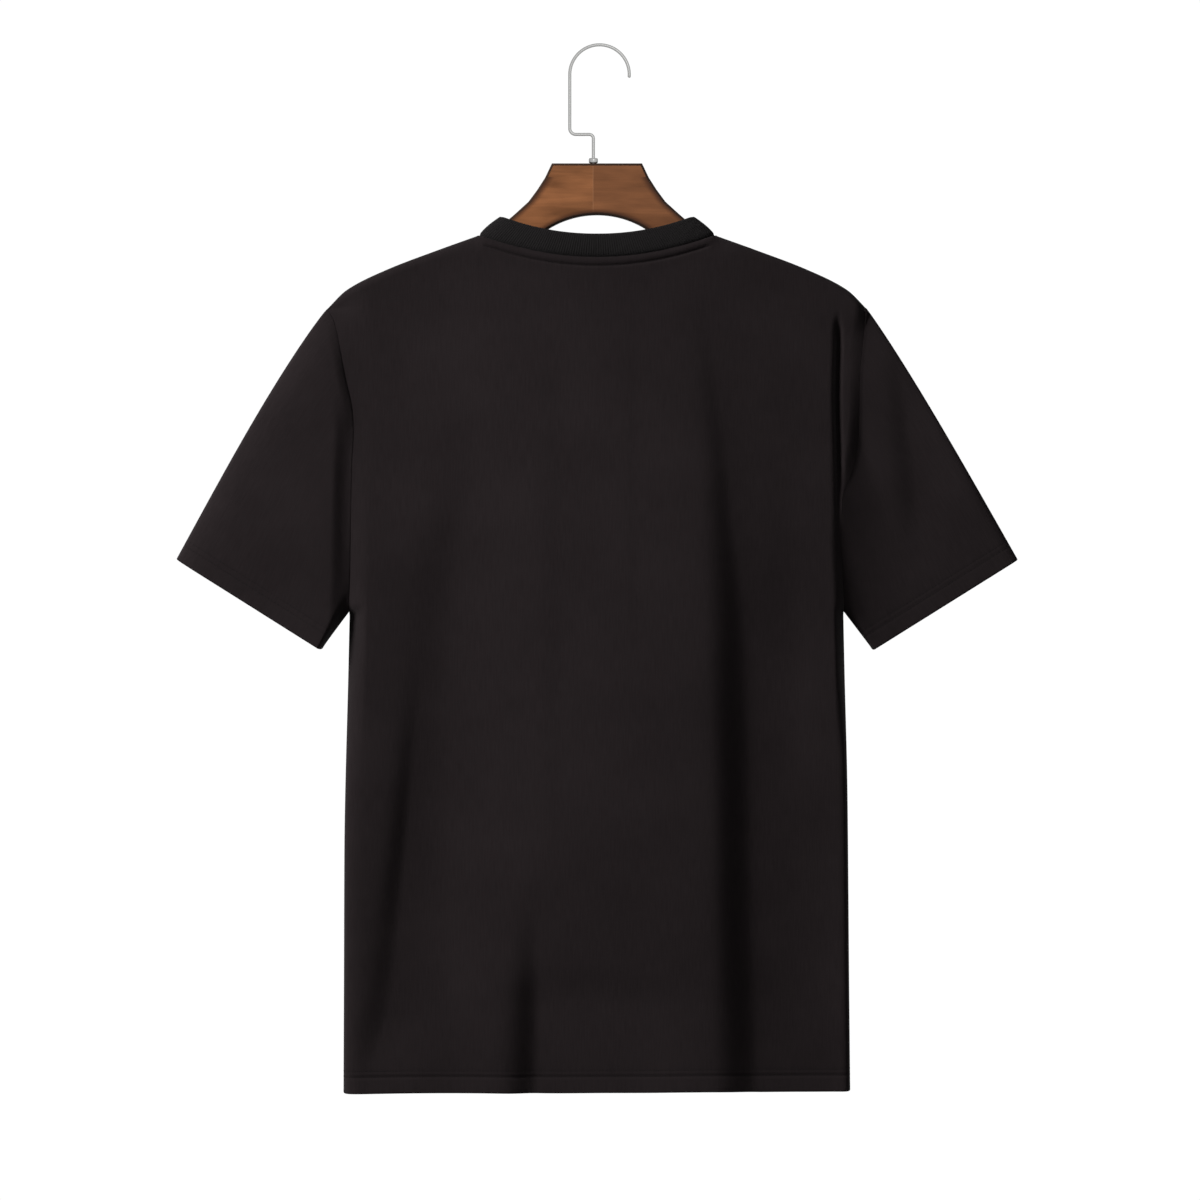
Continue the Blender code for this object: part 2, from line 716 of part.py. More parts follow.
def make_materials():
    """One Principled material for each kind of surface."""
    made = {}
    for name, (colour, roughness, metallic) in COLOURS.items():
        material = bpy.data.materials.new(name)
        material.use_nodes = True
        shader = material.node_tree.nodes["Principled BSDF"]
        shader.inputs["Base Color"].default_value = (*colour, 1.0)
        shader.inputs["Roughness"].default_value = roughness
        shader.inputs["Metallic"].default_value = metallic
        made[name] = material
    return made


def main():
    for item in list(bpy.data.objects):
        bpy.data.objects.remove(item)
    materials = make_materials()
    make_panel(BACK, materials["cloth"])
    make_panel(FRONT, materials["cloth"])
    make_sleeve("sleeve_left", -1, materials["cloth"])
    make_sleeve("sleeve_right", 1, materials["cloth"])
    make_band(materials["rib"])
    make_hanger(materials["wood"])
    make_hook(materials["wire"])
    make_ferrule(materials["wire"])


main()
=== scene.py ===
# %% [markdown]
# # A crew neck t-shirt on a wooden hanger
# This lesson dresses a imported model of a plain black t-shirt that hangs on a wooden hanger.
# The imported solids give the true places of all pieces. Each of them is replaced here by a finer
# piece in the same place: cloth with folds and seams, rib, thread, wood and wire.
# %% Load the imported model
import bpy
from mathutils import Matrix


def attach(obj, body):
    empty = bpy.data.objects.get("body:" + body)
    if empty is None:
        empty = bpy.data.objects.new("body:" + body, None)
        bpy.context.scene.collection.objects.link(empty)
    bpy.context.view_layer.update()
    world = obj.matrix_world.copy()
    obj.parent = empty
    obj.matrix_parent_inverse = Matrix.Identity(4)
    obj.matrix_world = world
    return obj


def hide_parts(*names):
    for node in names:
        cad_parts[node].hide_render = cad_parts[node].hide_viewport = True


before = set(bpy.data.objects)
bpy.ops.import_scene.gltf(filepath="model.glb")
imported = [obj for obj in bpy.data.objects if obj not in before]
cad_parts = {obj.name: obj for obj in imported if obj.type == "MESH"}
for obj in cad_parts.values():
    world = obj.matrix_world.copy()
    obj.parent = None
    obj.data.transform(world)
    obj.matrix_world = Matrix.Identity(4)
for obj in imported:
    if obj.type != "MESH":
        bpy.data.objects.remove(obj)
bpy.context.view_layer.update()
print("packed nodes:", sorted(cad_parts))

# %% Blender's modules
import math

import bpy
import numpy as np
from mathutils import Vector

# %% [markdown]
# ## Helpers for modelling by hand
# An operator acts on all that is selected, so nothing may be selected before a new primitive is
# added. The finished piece stays at the origin, with its place in its mesh.


# %% Selecting, facing outwards, and applying modifiers
def select_only(item=None):
    """Leave edit mode and select only this object, or nothing."""
    if bpy.context.object and bpy.context.object.mode != "OBJECT":
        bpy.ops.object.mode_set(mode="OBJECT")
    bpy.ops.object.select_all(action="DESELECT")
    if item is not None:
        item.select_set(True)
        bpy.context.view_layer.objects.active = item


def edit(item, kind, chosen):
    """Enter edit mode with only the chosen vertices, edges or faces selected."""
    parts = {"VERT": item.data.vertices, "EDGE": item.data.edges, "FACE": item.data.polygons}
    for name, members in parts.items():
        members.foreach_set("select", [name == kind and chosen(part) for part in members])
    bpy.context.tool_settings.mesh_select_mode = [name == kind for name in parts]
    bpy.ops.object.mode_set(mode="EDIT")


def named(name):
    """Give the object that was just added its name, and return it."""
    item = bpy.context.object
    item.name = item.data.name = name
    return item


def edit_all():
    """Enter edit mode with everything selected."""
    bpy.ops.object.mode_set(mode="EDIT")
    bpy.ops.mesh.select_all(action="SELECT")


def run_to(move):
    """Draw the selection of the edited mesh out along a straight run."""
    bpy.ops.mesh.extrude_region_move(TRANSFORM_OT_translate={"value": move})


def face_outwards():
    """Point all faces of the edited mesh outwards and leave edit mode."""
    bpy.ops.mesh.select_all(action="SELECT")
    bpy.ops.mesh.normals_make_consistent(inside=False)
    bpy.ops.object.mode_set(mode="OBJECT")


def shade(item, degrees):
    """Shade a hard piece smooth, but for its sharp edges."""
    select_only(item)
    bpy.ops.object.shade_smooth_by_angle(angle=math.radians(degrees))
    print(item.name, "has", len(item.data.polygons), "faces")


def apply_all(item):
    """Apply every modifier of an object and its place."""
    select_only(item)
    for modifier in list(item.modifiers):
        bpy.ops.object.modifier_apply(modifier=modifier.name)
    bpy.ops.object.transform_apply(location=True, rotation=True, scale=True)
    print(item.name, "has", len(item.data.polygons), "faces")


# %% [markdown]
# ## Helpers for nodes
# Finishes and the light of the room are small networks of nodes. An input takes a number or
# another node's output, and one helper sets up a node with either.


# %% Adding nodes
def add(tree, kind, inputs=(), out=0, **settings):
    """Add a node, set it up, and return one of its outputs."""
    node = tree.nodes.new("ShaderNode" + kind)
    for name, value in settings.items():
        setattr(node, name, value)
    for socket, value in dict(inputs).items():
        if isinstance(value, bpy.types.NodeSocket):
            tree.links.new(value, node.inputs[socket])
        else:
            node.inputs[socket].default_value = value
    return node.outputs[out]


def maths(tree, operation, a, b=0.0, c=0.0):
    """One Math node."""
    return add(tree, "Math", {0: a, 1: b, 2: c}, operation=operation)


def apart(tree, vector):
    """The X, Y and Z of a vector."""
    return add(tree, "SeparateXYZ", {0: vector}).node.outputs


def mapped(tree, value, old, new=(0.0, 1.0), step="LINEAR"):
    """A value carried over from one range to another."""
    limits = {"From Min": old[0], "From Max": old[1], "To Min": new[0], "To Max": new[1]}
    return add(tree, "MapRange", {"Value": value, **limits}, interpolation_type=step)


# %% [markdown]
# ## The stage
# A studio picture of black clothes uses one large soft light from the side. It rakes over the
# cloth, so that each fold shows one lit and one dark flank. Two lights behind the shirt draw its
# edges. They stay out of reflections, or the thin wire would look broken. The world is bright
# for the camera and dim for everything else, or the folds would fill in. The floor is a plain
# pale disc, as far below the shirt as a real one would be.

# %% Floor
FLOOR_Z, FLOOR_RADIUS = -1.8, 3.5
select_only()
bpy.ops.mesh.primitive_circle_add(vertices=96, radius=FLOOR_RADIUS, fill_type="NGON",
                                  location=(0, 0, FLOOR_Z))
floor = named("floor")
floor.visible_diffuse = floor.visible_glossy = False

# %% World: white to look at, dim as a light, and darker behind the shirt for reflections
SHOWN, ROOM_LIGHT = 1.02, 0.12
MIRRORED_IN_FRONT, MIRRORED_BEHIND = 0.7, 0.36
world = bpy.data.worlds.new("white_room")
bpy.context.scene.world = world
world.use_nodes = True
room = world.node_tree
backdrop = room.nodes["Background"]
backdrop.inputs["Color"].default_value = (1.0, 1.0, 1.0, 1.0)
ray = room.nodes.new("ShaderNodeLightPath").outputs
mirrored = mapped(room, apart(room, add(room, "TexCoord"))["Y"], (-0.6, 0.95),
                  (MIRRORED_IN_FRONT, MIRRORED_BEHIND))
unseen = add(room, "Mix", {"Factor": ray["Is Glossy Ray"], 2: ROOM_LIGHT, 3: mirrored})
strength = add(room, "Mix", {"Factor": ray["Is Camera Ray"], 2: unseen, 3: SHOWN})
room.links.new(strength, backdrop.inputs["Strength"])

# %% Lights
SHIRT_MIDDLE = (0.0, 0.0, -0.46)
LEFT_SHOULDER = (-0.26, 0.0, -0.25)


def soft_light(name, place, size, power, aim=SHIRT_MIDDLE):
    """A square area light that faces the shirt."""
    select_only()
    way = (Vector(aim) - Vector(place)).to_track_quat("-Z", "Y").to_euler()
    bpy.ops.object.light_add(type="AREA", location=place, rotation=way)
    lamp = named(name)
    lamp.data.size = size
    lamp.data.energy = power
    return lamp


key = soft_light("key_left", (-2.89, -2.09, 1.42), 1.5, 25.5, LEFT_SHOULDER)
key.data.spread = math.radians(52.0)
soft_light("fill_front", (0.6, -3.6, 0.9), 1.6, 8.0)
rear_left = soft_light("rear_left", (-2.2, 2.6, 0.9), 1.4, 130.0)
rear_right = soft_light("rear_right", (2.0, 2.6, 0.4), 1.2, 45.0)
above_floor = soft_light("floor_light", (0.0, 0.0, -1.0), 7.0, 110.0, (0.0, 0.0, FLOOR_Z))
above_floor.visible_camera = False
for lamp in (key, rear_left, rear_right, above_floor):
    lamp.visible_glossy = False

# %% Camera: square on, from far away with a long lens
FRAME_WIDTH = 0.996
FRAME_X, FRAME_Z = 0.0025, -0.4594
DISTANCE = 4.5
select_only()
bpy.ops.object.camera_add(location=(FRAME_X, -DISTANCE, FRAME_Z), rotation=(math.pi / 2, 0, 0))
camera = named("camera")
camera.data.sensor_width = 36.0
camera.data.lens = camera.data.sensor_width * DISTANCE / FRAME_WIDTH
camera.data.clip_end = 40.0
bpy.context.scene.camera = camera
bpy.context.scene.view_settings.view_transform = "Standard"

# %% [markdown]
# ## The sizes of the shirt
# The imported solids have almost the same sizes, so the cloth lies on their form. Lengths are
# metres. Left and right are the viewer's, who sees the back of the shirt. Where a size has a
# value for each side, -1 is the left and 1 the right.

# %% Outline of the body and the sleeves
NECK_HALF = 0.098
NECK_Z = -0.1568
TIP_X, TIP_Z = 0.224, -0.218
PIT_Z = -0.468
HEM_Z = -0.8662
HEM_HALF = 0.209
HEM_AT = [-0.209, -0.143, -0.093, -0.043, 0.007, 0.04, 0.073, 0.098, 0.139, 0.173, 0.209]
HEM_LEVEL = [-0.8676, -0.8665, -0.8664, -0.8671, -0.8662, -0.8656, -0.8648, -0.8644, -0.8656,
             -0.8656, -0.8655]
SHOULDER_X = [NECK_HALF, 0.132, 0.175, 0.2075, TIP_X]
SHOULDER_Z = [NECK_Z, -0.169, -0.1855, -0.202, TIP_Z]
EDGE_Z = {-1: [-0.875, -0.76, -0.67, -0.53, PIT_Z, -0.44, -0.4, -0.35, -0.318, -0.302,
               -0.277, -0.252, -0.228, TIP_Z],
          1: [-0.875, -0.77, -0.625, -0.53, PIT_Z, -0.41, -0.375, -0.352, -0.332, -0.3, -0.275,
              TIP_Z]}
EDGE_X = {-1: [0.2101, 0.2097, 0.2094, 0.2065, 0.2052, 0.204, 0.2034, 0.2025, 0.2011, 0.2021,
               0.2075, 0.2125, 0.218, TIP_X],
          1: [0.2099, 0.2089, 0.2076, 0.2056, 0.2044, 0.202, 0.203, 0.2115, 0.216, 0.2174,
              0.2178, TIP_X]}
CUFF_OUTER = np.array([0.348, 0.0, -0.424])
CUFF_INNER = np.array([0.228, 0.0, -0.499])
CUFF_SHIFT = {-1: 0.0019, 1: 0.0024}
SLEEVE_WAY = np.array([0.53, 0.0, -0.848])
BODY_DEPTH = 0.041
CLOTH = 0.0008


# %% Smooth steps, curves, round edges and ridges
def smooth(value):
    """A soft step from 0 to 1."""
    value = np.clip(value, 0.0, 1.0)
    return value * value * (3.0 - 2.0 * value)


def curve(places, values, at):
    """A smooth curve through a few points, with no overshoot."""
    places, values = np.array(places), np.array(values)
    rise = np.diff(values) / np.diff(places)
    product, total = rise[:-1] * rise[1:], rise[:-1] + rise[1:]
    bends = np.where(product > 0.0, 2.0 * product / np.where(product > 0.0, total, 1.0), 0.0)
    slopes = np.concatenate(([rise[0]], bends, [rise[-1]]))
    at = np.clip(at, places[0], places[-1])
    i = np.clip(np.searchsorted(places, at) - 1, 0, len(places) - 2)
    span = places[i + 1] - places[i]
    t = (at - places[i]) / span
    leave = values[i] * (1.0 + 2.0 * t) * (1.0 - t) ** 2 + slopes[i] * span * t * (1.0 - t) ** 2
    arrive = values[i + 1] * t * t * (3.0 - 2.0 * t) + slopes[i + 1] * span * t * t * (t - 1.0)
    return leave + arrive


def rounded(share, power):
    """A rise from 0 to 1, steep at first and level at last, as at a round edge."""
    return (1.0 - (1.0 - share) ** power) ** (1.0 / power)


def ridge(distance, height, middle, width):
    """A soft ridge beside an edge. Taken away, it is a groove."""
    return height * np.exp(-((distance - middle) / width) ** 2)


# %% Hem, neckline and shoulder line
NECK_SQUARE = 3.3


def hem_z(x):
    """Height of the hem, which hangs a little unevenly."""
    return curve(HEM_AT, HEM_LEVEL, x)


def scoop(x, half, z, drop, power, roundness):
    """Height of a neckline between its two tips."""
    inside = np.maximum(1.0 - np.abs(x / half) ** power, 0.0)
    return z - drop * inside ** roundness


def reach_at(x, half, reach):
    """How far a neckline stands out along Y."""
    inside = np.maximum(1.0 - np.abs(x / half) ** NECK_SQUARE, 0.0)
    return reach * inside ** (1.0 / NECK_SQUARE)


# %% [markdown]
# ## Folds
# A fold in hanging jersey is a long trough with one steep and one gentle flank. It starts as a
# shallow dent, deepens on its way down and wanders to the side. A negative depth is a ridge. No
# two folds are alike, because even folds look like a curtain.

# %% The folds of the back
# Each fold is a list of places from its top to its lower end. A place gives, in millimetres,
#   height, X of the bottom, depth, width of the left flank, width of the right flank
# and what it leaves out at its end stays as it was at the place before.
BACK_FOLDS = [
    [(-205, 90, 0, 10, 100), (-260, 97, 1.4), (-330, 106.5, 3.4, 11), (-400, 113, 5.6, 13, 90),
     (-470, 121, 8.4, 16, 80), (-560, 125.5, 11.2, 18.5, 70), (-700, 127.5, 11.8, 19),
     (-800, 131.5, 11.5, 19, 65), (-880, 133, 10.5)],
    [(-230, 80, 0, 80, 20), (-400, 86, -3), (-600, 94, -3.6, 80, 16), (-880, 98, -3, 80, 18)],
    [(-255, -92, 0, 28, 50), (-330, -98, 2.6, 26), (-393, -108, 5, 27), (-459, -119, 7, 32, 54),
     (-560, -121, 8.8, 36, 60), (-700, -119, 8.8, 38, 64), (-800, -116, 6.6), (-870, -114, 5)],
    [(-500, -142, 0, 12, 50), (-559, -148, 2.2, 10), (-625, -154, 5.2, 10.5), (-692, -160, 6.4, 12),
     (-758, -166, 6.6, 15), (-800, -172, 5.6), (-850, -186, 1.6, 14, 40), (-880, -190, 0.4)],
    [(-690, -46, 0, 13, 60), (-730, -47.5, 3.4, 14, 80), (-760, -48, 7, 15, 100),
     (-795, -47.5, 14, 16.5, 120), (-880, -49, 15.5, 17.5)],
    [(-600, 190, 0, 20, 30), (-680, 191, 2.8, 24), (-760, 194, 4.6, 28), (-880, 203, 5.4, 30)],
    [(-222, 199.4, 0, 2.6, 2.6), (-240, 200.1, 5, 2.8, 2.4), (-290, 199, 5.6), (-330, 199.7),
     (-360, 200.3, 5.2, 2.8, 2.6), (-400, 200.8, 3, 2.8, 2.8), (-440, 202, 0, 2.8, 2.6)],
    [(-226, 199.4, 0, 2.8, 50), (-242, 200.1, 3.2), (-290, 199, 4.2), (-330, 199.7),
     (-370, 200.4, 2.6), (-420, 201.4, 0, 2.8, 40)],
    [(-215, -29, 0, 12, 36), (-300, -29, 0.8), (-600, -28, 1.3, 13, 40), (-720, -30, 0, 14)],
    [(-200, 32, 0, 4, 24), (-300, 32, 0.5), (-460, 33, 0.5, 4.5), (-520, 34, 0, 5)],
]

# %% The folds of the front
# They are of the same kind, but none repeats one of the back.
FRONT_FOLDS = [
    [(-300, -94, 0, 18, 44), (-480, -100, 11), (-880, -112)],
    [(-500, 36, 0, 16, 42), (-630, 40, 9), (-880, 50)],
    [(-290, 128, 0, 15, 36), (-470, 135, 10), (-880, 152, 9.5, 17, 40)],
    [(-640, -30, 0, 14, 30), (-740, -27, 6), (-880, -22)],
    [(-420, -172, 0, 10, 22), (-600, -176, 4), (-880, -180, 3.2, 12, 24)],
    [(-260, -60, 0, 8, 16), (-400, -55, 2.2, 9), (-560, -50, 0, 10, 18)],
    [(-300, 75, 0, 9, 20), (-430, 80, 2.6, 10), (-610, 88, 0, 12)],
    [(-240, -197, 0, 5, 7), (-320, -196, 3.4), (-440, -198, 0, 5, 6)],
    [(-250, 196, 0, 6, 6), (-330, 194, 3), (-430, 193, 0)],
]


def fold_depth(folds, x, z):
    """How far the folds push the cloth in."""
    total = np.zeros(np.broadcast(x, z).shape)
    for first, *others in folds:
        places = [first]
        for place in others:
            places.append(place + places[-1][len(place):])
        heights, *columns = np.array(places).T / 1000.0
        middle, depth, left, right = (curve(-heights, column, -z) for column in columns)
        off = x - middle
        total += depth * np.exp(-(off / np.where(off < 0.0, left, right)) ** 2)
    return total


# %% [markdown]
# ## The body panels
# A t-shirt body is two flat pieces of jersey, a back and a front, sewn at the shoulders and the
# sides. A flat grid is the cut piece, and each of its corners is moved to where it hangs. Its
# depth grows from the seams inwards, less the folds. Beyond each seam the cloth turns in by a
# few millimetres, as a seam allowance does, so that no gap shows. At the hem it goes round a
# small radius and back up inside, to where the needle caught it.

# %% Shape of a panel
SEAM_HALF = 0.00001
TIP_ROUND = 0.03
HALF_ROUNDS = 12
ARMHOLE_TOP = {-1: 0.014, 1: 0.0056}
ARMHOLE_LOW = {-1: 0.02, 1: 0.019}
ARMHOLE_DEEPENS = {-1: (-0.6, 1.2), 1: (-0.15, 0.5)}
ARMHOLE_POWERS = 2.0, 9.0
BACK = {"y": -1, "drop": 0.0187, "power": 2.0, "round": 1.0, "reach": 0.014, "folds": BACK_FOLDS}
FRONT = {"y": 1, "drop": 0.0862, "power": 2.6, "round": 0.85, "reach": 0.026, "folds": FRONT_FOLDS}


def top_z(x, panel):
    """Height of a panel's top edge: neckline inside, shoulder line outside."""
    neck = scoop(x, NECK_HALF, NECK_Z, panel["drop"], panel["power"], panel["round"])
    return np.where(np.abs(x) < NECK_HALF, neck, curve(SHOULDER_X, SHOULDER_Z, np.abs(x)))


def edge_x(side, z):
    """Half width of the body on one side at a height."""
    return curve(EDGE_Z[side], EDGE_X[side], z)


def half_at(side, up):
    """Half width of the body where its outline has risen by a share of its height."""
    z = HEM_Z + up * (TIP_Z - HEM_Z)
    for _ in range(HALF_ROUNDS):
        half = edge_x(side, z)
        low = hem_z(side * half)
        z = low + up * (curve(SHOULDER_X, SHOULDER_Z, half) - low)
    return edge_x(side, z)


def armhole_bow(side, z):
    """The armhole's depth: round at the shoulder tip, square at the armpit."""
    level = 2.0 * np.clip((TIP_Z - z) / (TIP_Z - PIT_Z), 0.0, 1.0) - 1.0
    begin, length = ARMHOLE_DEEPENS[side]
    deepened = smooth((level - begin) / length)
    deep = ARMHOLE_TOP[side] + (ARMHOLE_LOW[side] - ARMHOLE_TOP[side]) * deepened
    power = np.where(level > 0.0, ARMHOLE_POWERS[1], ARMHOLE_POWERS[0])
    return deep * (1.0 - np.abs(level) ** power) ** (1.0 / power)


# %% Seams sink in, and the cloth stands up a little beside them
TOPSTITCH = 0.0072
NEEDLE_ROWS = [0.0135, 0.0183]
HEM_FLARE, HEM_GROOVE = 0.001, 0.0009
FIRST_WIDTH, SECOND_GROOVE, SECOND_WIDTH = 0.0012, 0.0002, 0.001
# A groove or a ridge is given by its height, its distance from the edge and its width
SHOULDER_GROOVE = 0.0005, 0.0, 0.001
NECK_RIDGE = 0.0007, 0.0034, 0.0022
NECK_GROOVE = 0.0011, TOPSTITCH, 0.0011
NECK_END, NECK_FADE = 0.001, 0.01


def hem_relief(from_edge, flare, groove):
    """A twin needle hem flares below its two rows and sinks at both."""
    first, second = NEEDLE_ROWS
    relief = flare * smooth(1.0 - from_edge / first) - ridge(from_edge, groove, first, FIRST_WIDTH)
    return relief - ridge(from_edge, SECOND_GROOVE, second, SECOND_WIDTH)


def seam_relief(below, above_hem, x):
    """How the shoulder seam, the neck seam, its topstitch and the hem shape a panel."""
    at_neck = smooth((NECK_HALF - NECK_END - np.abs(x)) / NECK_FADE)
    relief = hem_relief(above_hem, HEM_FLARE, HEM_GROOVE) - ridge(below, *SHOULDER_GROOVE)
    return relief + at_neck * (ridge(below, *NECK_RIDGE) - ridge(below, *NECK_GROOVE))


# %% How far a panel stands out: less at the shoulder and the sides, more where it hangs free
SHOULDER_ROUND, SHOULDER_SQUARE = 0.0085, 2.5
NECK_RISE, NECK_BLEND = 0.03, 0.05
BELL_HALF = 0.165
HANG_FROM, HANG_ARCH, FLARE = -0.16, 1.15, 0.26
LEVEL_X = [-0.21, -0.17, -0.125, -0.06, 0.02, 0.095, 0.133, 0.17, 0.21]
LEVEL = [-0.0155, -0.0142, -0.011, -0.0065, -0.002, 0.0, -0.0045, -0.0095, -0.0105]
SINK = 0.006
SIDE_ROUND, SIDE_SQUARE = {-1: 0.026, 1: 0.011}, 4.0
ARMHOLE_ROUND = {-1: 0.016, 1: 0.0096}
UNDER_TIP, UNDER_TIP_BLEND = -0.236, 0.05
UNDER_PIT, UNDER_PIT_BLEND = -0.6, 0.14


def side_share(x, z, from_edge):
    """The share of its depth that a panel has reached beside its side edge."""
    left = x < 0.0
    short = np.clip(from_edge / np.where(left, SIDE_ROUND[-1], SIDE_ROUND[1]), 0.0, 1.0)
    squared = rounded(short, SIDE_SQUARE)
    under_tip = smooth((UNDER_TIP - z) / UNDER_TIP_BLEND)
    left_length = TIP_ROUND + (ARMHOLE_ROUND[-1] - TIP_ROUND) * under_tip
    length = np.where(left, left_length, ARMHOLE_ROUND[1])
    soft = np.sin(0.5 * math.pi * np.clip(from_edge / length, 0.0, 1.0))
    return squared + (soft - squared) * smooth((z - UNDER_PIT) / UNDER_PIT_BLEND)


def panel_depth(panel, x, z, half):
    """How far a panel's outer face stands from the plane of the seams."""
    below = np.maximum(top_z(x, panel) - z, 0.0)
    reach = reach_at(x, NECK_HALF, panel["reach"])
    bell = SHOULDER_ROUND + (panel["reach"] - SHOULDER_ROUND) * smooth(1.0 - np.abs(x) / BELL_HALF)
    hang = smooth((HANG_FROM - HANG_ARCH * x * x - z) / FLARE)
    body = bell + (BODY_DEPTH - bell + curve(LEVEL_X, LEVEL, x)) * hang
    at_neck = smooth((NECK_HALF + 0.5 * NECK_BLEND - np.abs(x)) / NECK_BLEND)
    roll = rounded(np.minimum(below / (SHOULDER_ROUND + NECK_RISE * at_neck), 1.0), SHOULDER_SQUARE)
    depth = reach + (body - reach) * roll
    depth = depth - fold_depth(panel["folds"], x, z) + seam_relief(below, z - hem_z(x), x)
    edge = np.where(x < 0.0, armhole_bow(-1, z), armhole_bow(1, z))
    return edge + np.maximum(depth - edge, -SINK) * side_share(x, z, half - np.abs(x))


# %% Rows and columns, close together at the seams, the needle rows and the neck
# The rows are heights above the hem and depths below the top edge. The first is where the hem
# has gone round its edge.
HEM_RADIUS = 0.001
LOW_ROWS = np.array([1, 2.2, 3.6, 5, 6.4, 7.8, 9.1, 10.3, 11.4, 12.5, 13.5, 14.5, 15.6, 16.6, 17.5,
                     18.3, 19.1, 20.2, 22]) / 1000.0
TOP_ROWS = np.array([17, 14.8, 12.8, 11, 9.7, 8.7, 7.9, 7.2, 6.6, 6, 5.3, 4.5, 3.7, 2.9, 2.2, 1.6,
                     1.1, 0.7, 0.3, 0]) / 1000.0
MIDDLE_ROWS = 132
HALF_COLUMNS, NECK_COLUMN, COLUMN_CROWD = 108, 39, 1.7
EVEN_TO, EVEN_TURN = 0.78, 0.19


def panel_grid(panel):
    """Outer points of a panel, row by row from the hem up."""
    step = np.arange(HALF_COLUMNS + 1) / HALF_COLUMNS
    low = 1.0 - (1.0 - step) ** COLUMN_CROWD
    neck_share = NECK_HALF / TIP_X
    at_neck = low[NECK_COLUMN]
    top = np.where(low <= at_neck, low / at_neck * neck_share,
                   neck_share + (low - at_neck) / (1 - at_neck) * (1 - neck_share))
    low = np.concatenate((-low[:0:-1], low))
    top = np.concatenate((-top[:0:-1], top))
    tall = top_z(top * TIP_X, panel) - hem_z(low * HEM_HALF)
    starts = LOW_ROWS[:, None] / tall
    ends = 1.0 - TOP_ROWS[:, None] / tall
    between = np.linspace(0, 1, MIDDLE_ROWS + 2)[1:-1, None]
    up = np.concatenate((starts, starts[-1] + (ends[0] - starts[-1]) * between, ends))
    share = low + (top - low) * smooth((up - EVEN_TO) / EVEN_TURN)
    half = np.where(share < 0.0, half_at(-1, up), half_at(1, up))
    x = share * half
    z = hem_z(x) + up * (top_z(x, panel) - hem_z(x))
    y = panel["y"] * (SEAM_HALF + panel_depth(panel, x, z, half))
    return np.stack((x, y, z), axis=2)


# %% Normals of a grid, lengths along a line, and the way that the cloth faces at the armhole
def unit(vectors):
    """The vectors with length 1."""
    return vectors / np.maximum(np.linalg.norm(vectors, axis=-1, keepdims=True), 1e-9)


def lengths_along(points):
    """How far along a line each of its points lies."""
    return np.concatenate(([0.0], np.cumsum(np.linalg.norm(np.diff(points, axis=0), axis=1))))


def grid_normals(points, sign):
    """Unit normals of a grid from the slopes along its rows and columns."""
    return unit(sign * np.cross(np.gradient(points, axis=1), np.gradient(points, axis=0)))


TIP_NORMAL = np.array([0.8, 0.0, 0.6])
PIT_NORMAL = unit(np.array([0.25, 0.0, -0.97]))


def armhole_facing(side, z, y_side):
    """The way that the cloth faces along the armhole seam."""
    part = np.clip((TIP_Z - z) / (TIP_Z - PIT_Z), 0.0, 1.0)[..., None]
    lengthwise = (1.0 - 2.0 * part) / (0.5 * (TIP_Z - PIT_Z))
    deep = (armhole_bow(side, z) / ARMHOLE_TOP[side] ** 2 * y_side)[..., None]
    end = np.where(part < 0.5, TIP_NORMAL * lengthwise, -PIT_NORMAL * lengthwise)
    facing = end + deep * np.array([0.0, 1.0, 0.0])
    return unit(facing) * np.array([side, 1.0, 1.0])


# %% Turning the cloth in at its seams and up at its hem
ALLOWANCE = [0.0009, 0.0024, 0.005]
HEM_INSIDE = range(16, -1, -2)
HEM_BEND = (150, 120, 90, 60, 30)


def turn_in(points, facing, keep_side):
    """Rows that lead the cloth in from a seam. They stay on their own side of Y = 0."""
    rows = []
    for depth in ALLOWANCE:
        row = points - facing * depth
        row[:, 1] = keep_side * np.maximum(keep_side * row[:, 1], 2.0 * SEAM_HALF)
        rows.append(row)
    return rows


def widen(left, grid, right):
    """The grid with the rows of its two allowances as new columns."""
    return np.concatenate((np.stack(left[::-1], axis=1), grid, np.stack(right, axis=1)), axis=1)


def turn_up(points, normals, down):
    """The same grid with a hem added before its first row: round the edge and up inside."""
    inside = [points[k] - 2.0 * HEM_RADIUS * normals[k] for k in HEM_INSIDE]
    bend = []
    for turn in np.radians(HEM_BEND):
        inward = HEM_RADIUS * (math.cos(turn) - 1.0)
        bend.append(points[0] + inward * normals[0] + HEM_RADIUS * math.sin(turn) * down)
    return np.concatenate((np.array(inside), np.array(bend), points))


